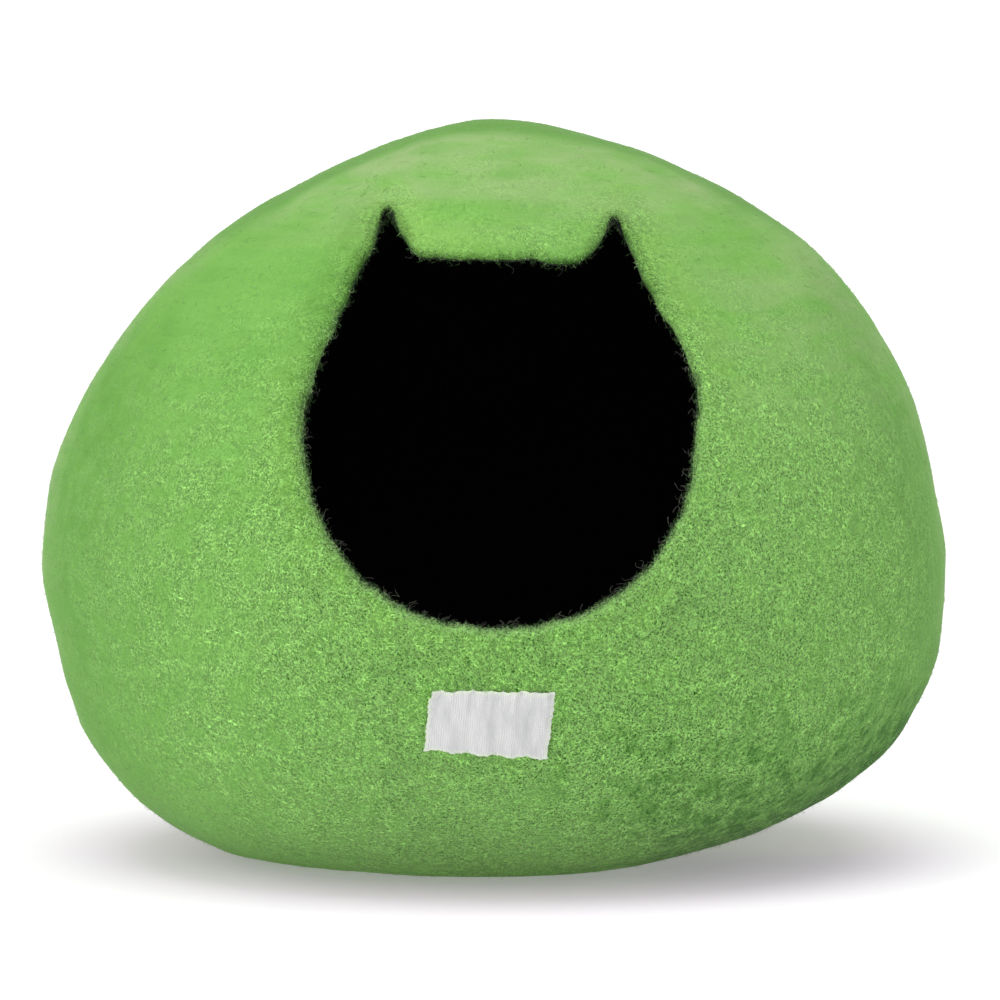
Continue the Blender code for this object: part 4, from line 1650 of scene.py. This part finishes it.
    def _one_stitch(self, sides: int = 6, steps: int = 9) -> bpy.types.Object:
        """Make one stitch: a thread that rises from its hole along +X and dips over the edge into the felt.

        Args:
            sides: how many sides the thread has.
            steps: how many rings of points it has.

        Returns:
            The stitch, as an object at the origin.
        """
        t = np.linspace(0, 1, steps)
        line = MM * np.stack((-0.3 + 2.0 * t, 0.1 * np.sin(t * 3), 0.2 - 0.9 * (2 * t - 0.8) ** 2), axis=1)
        along = unit(np.gradient(line, axis=0))
        side = unit(np.cross(along, (0.0, 0.0, 1.0)))
        over = np.cross(side, along)
        turns = np.arange(sides) * math.tau / sides
        round_it = np.cos(turns)[:, None, None] * side + np.sin(turns)[:, None, None] * over
        points = (line + self.stitch_radius_mm * MM * round_it).transpose(1, 0, 2).reshape(-1, 3)
        faces = [(a, d, c, b) for a, b, c, d in bands(steps, sides)]
        faces += [tuple(range(sides)), tuple(range(steps * sides - 1, (steps - 1) * sides - 1, -1))]
        return mesh_object("one_stitch", points, faces)


def sew_tree() -> Tree:
    """Build the Geometry Nodes tree that sets one stitch on every hole.

    Returns:
        The tree.
    """
    sew = ShapeTree("sew_stitches", {"Holes": "Geometry", "Stitch": "Object", "Slant": "Float"})
    one = sew.add("GeometryNodeObjectInfo", {"Object": sew.given["Stitch"]}, "Geometry")
    return sew.end(sew.attribute("upright"), "Slant", {"Points": sew.given["Holes"], "Instance": one})


# ---------------------------------------------------------------- the studio


@dataclass(frozen=True)
class SoftLamp:
    """A far soft lamp: where it shines from, how wide it looks in degrees, and its strength."""

    name: str
    shines_from: tuple[float, float, float]
    width: float
    strength: float


@dataclass
class Studio:
    """A plain white floor that glows a little, a white backdrop, soft lamps, and the photo's camera."""

    distance: float = 3.0
    slope: float = 4.5
    aim: tuple[float, float, float] = (0.00305, 0.0, 0.18082)
    lens: float = 210.74
    sensor: float = 36.0
    sees_to: float = 100.0
    floor_side: float = 60.0
    backdrop: float = 1.02
    surround: float = 0.5
    # faintly rosy round the cave's foot, so that the green light the cave throws there leaves its shadow grey
    floor_white: str = "edebee"
    floor_rosy: str = "f1d4f8"
    rosy_reach: tuple[float, float] = (150 * MM, 265 * MM)
    floor_glow: float = 0.255
    lamps: tuple[SoftLamp, ...] = (
        SoftLamp("key", (-0.5, -1.0, 0.5), 100.0, 1.5),
        SoftLamp("over", (0.0, 0.0, 1.0), 58.0, 1.45),
    )

    def build(self) -> None:
        """Build the floor, the surround, the lamps and the camera."""
        half = self.floor_side / 2
        corners = np.array(((-half, -half, 0), (half, -half, 0), (half, half, 0), (-half, half, 0)))
        mesh_object("studio_floor", corners, [(0, 1, 2, 3)], self._sheet())
        scene = bpy.context.scene
        scene.world = bpy.data.worlds.new("studio_surround")
        scene.world.use_nodes = True
        sky = scene.world.node_tree
        sky.nodes.clear()
        seen = add_node(sky, "LightPath")
        level = add_node(sky, "MapRange", {0: seen, 3: self.surround, 4: self.backdrop})
        light = add_node(sky, "Background", {"Color": WHITE, "Strength": level})
        add_node(sky, "OutputWorld", {"Surface": light})
        scene.view_settings.view_transform = "Standard"
        for lamp in self.lamps:
            light = bpy.data.lights.new(lamp.name, "SUN")
            light.angle, light.energy = math.radians(lamp.width), lamp.strength
            self._point(bpy.data.objects.new(lamp.name, light), Vector(lamp.shines_from) * 3, Vector())
        camera = bpy.data.cameras.new("photo_camera")
        camera.lens, camera.sensor_width, camera.clip_end = self.lens, self.sensor, self.sees_to
        slope = math.radians(self.slope)
        back = Vector((0.0, -math.cos(slope), math.sin(slope))) * self.distance
        scene.camera = bpy.data.objects.new("photo_camera", camera)
        self._point(scene.camera, Vector(self.aim) + back, Vector(self.aim))

    def _point(self, made: bpy.types.Object, place: Vector, aim: Vector) -> None:
        """Put an object in the scene so that it looks at its aim.

        Args:
            made: the lamp or the camera.
            place: where it stands.
            aim: what it looks at.
        """
        bpy.context.scene.collection.objects.link(made)
        made.location = place
        made.rotation_euler = (aim - place).to_track_quat("-Z", "Y").to_euler()

    def _sheet(self) -> bpy.types.Material:
        """Build the floor's matte white sheet, which glows a little so that shadows on it stay pale.

        Returns:
            The material.
        """
        made, add = new_material("white_backdrop_sheet")
        away = add("VectorMath", {0: add("TexCoord", out="Object")}, "Value", operation="LENGTH")
        start, end = self.rosy_reach
        away = add("MapRange", {0: away, 1: start, 2: end})
        tints = {0: away, 6: linear(self.floor_rosy), 7: linear(self.floor_white)}
        surface = {
            "Base Color": add("Mix", tints, 2, data_type="RGBA"),
            "Roughness": 1.0,
            "Specular IOR Level": 0.0,
            "Emission Color": WHITE,
            "Emission Strength": self.floor_glow,
        }
        return dressed(made, surface)


def main() -> None:
    """Build the cave's sub-assemblies in order, attach each to the cave's body, and log its face count."""
    logging.basicConfig(level=logging.INFO, format="%(name)s: %(message)s")
    Studio().build()
    form = CaveForm()
    shell = FeltShell(form, CatMouth())
    label = WovenLabel(form)
    felt = shell.build()
    tape = label.build()
    thread = label.stitches()
    fibres = WoolCoat(shell, label).build()
    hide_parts("felt_shell")
    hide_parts("label")
    for piece in (felt, tape, thread, *fibres):
        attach(piece, BODY)
        LOG.info("%s: %d faces", piece.name, len(piece.data.polygons))


if __name__ == "__main__":
    main()
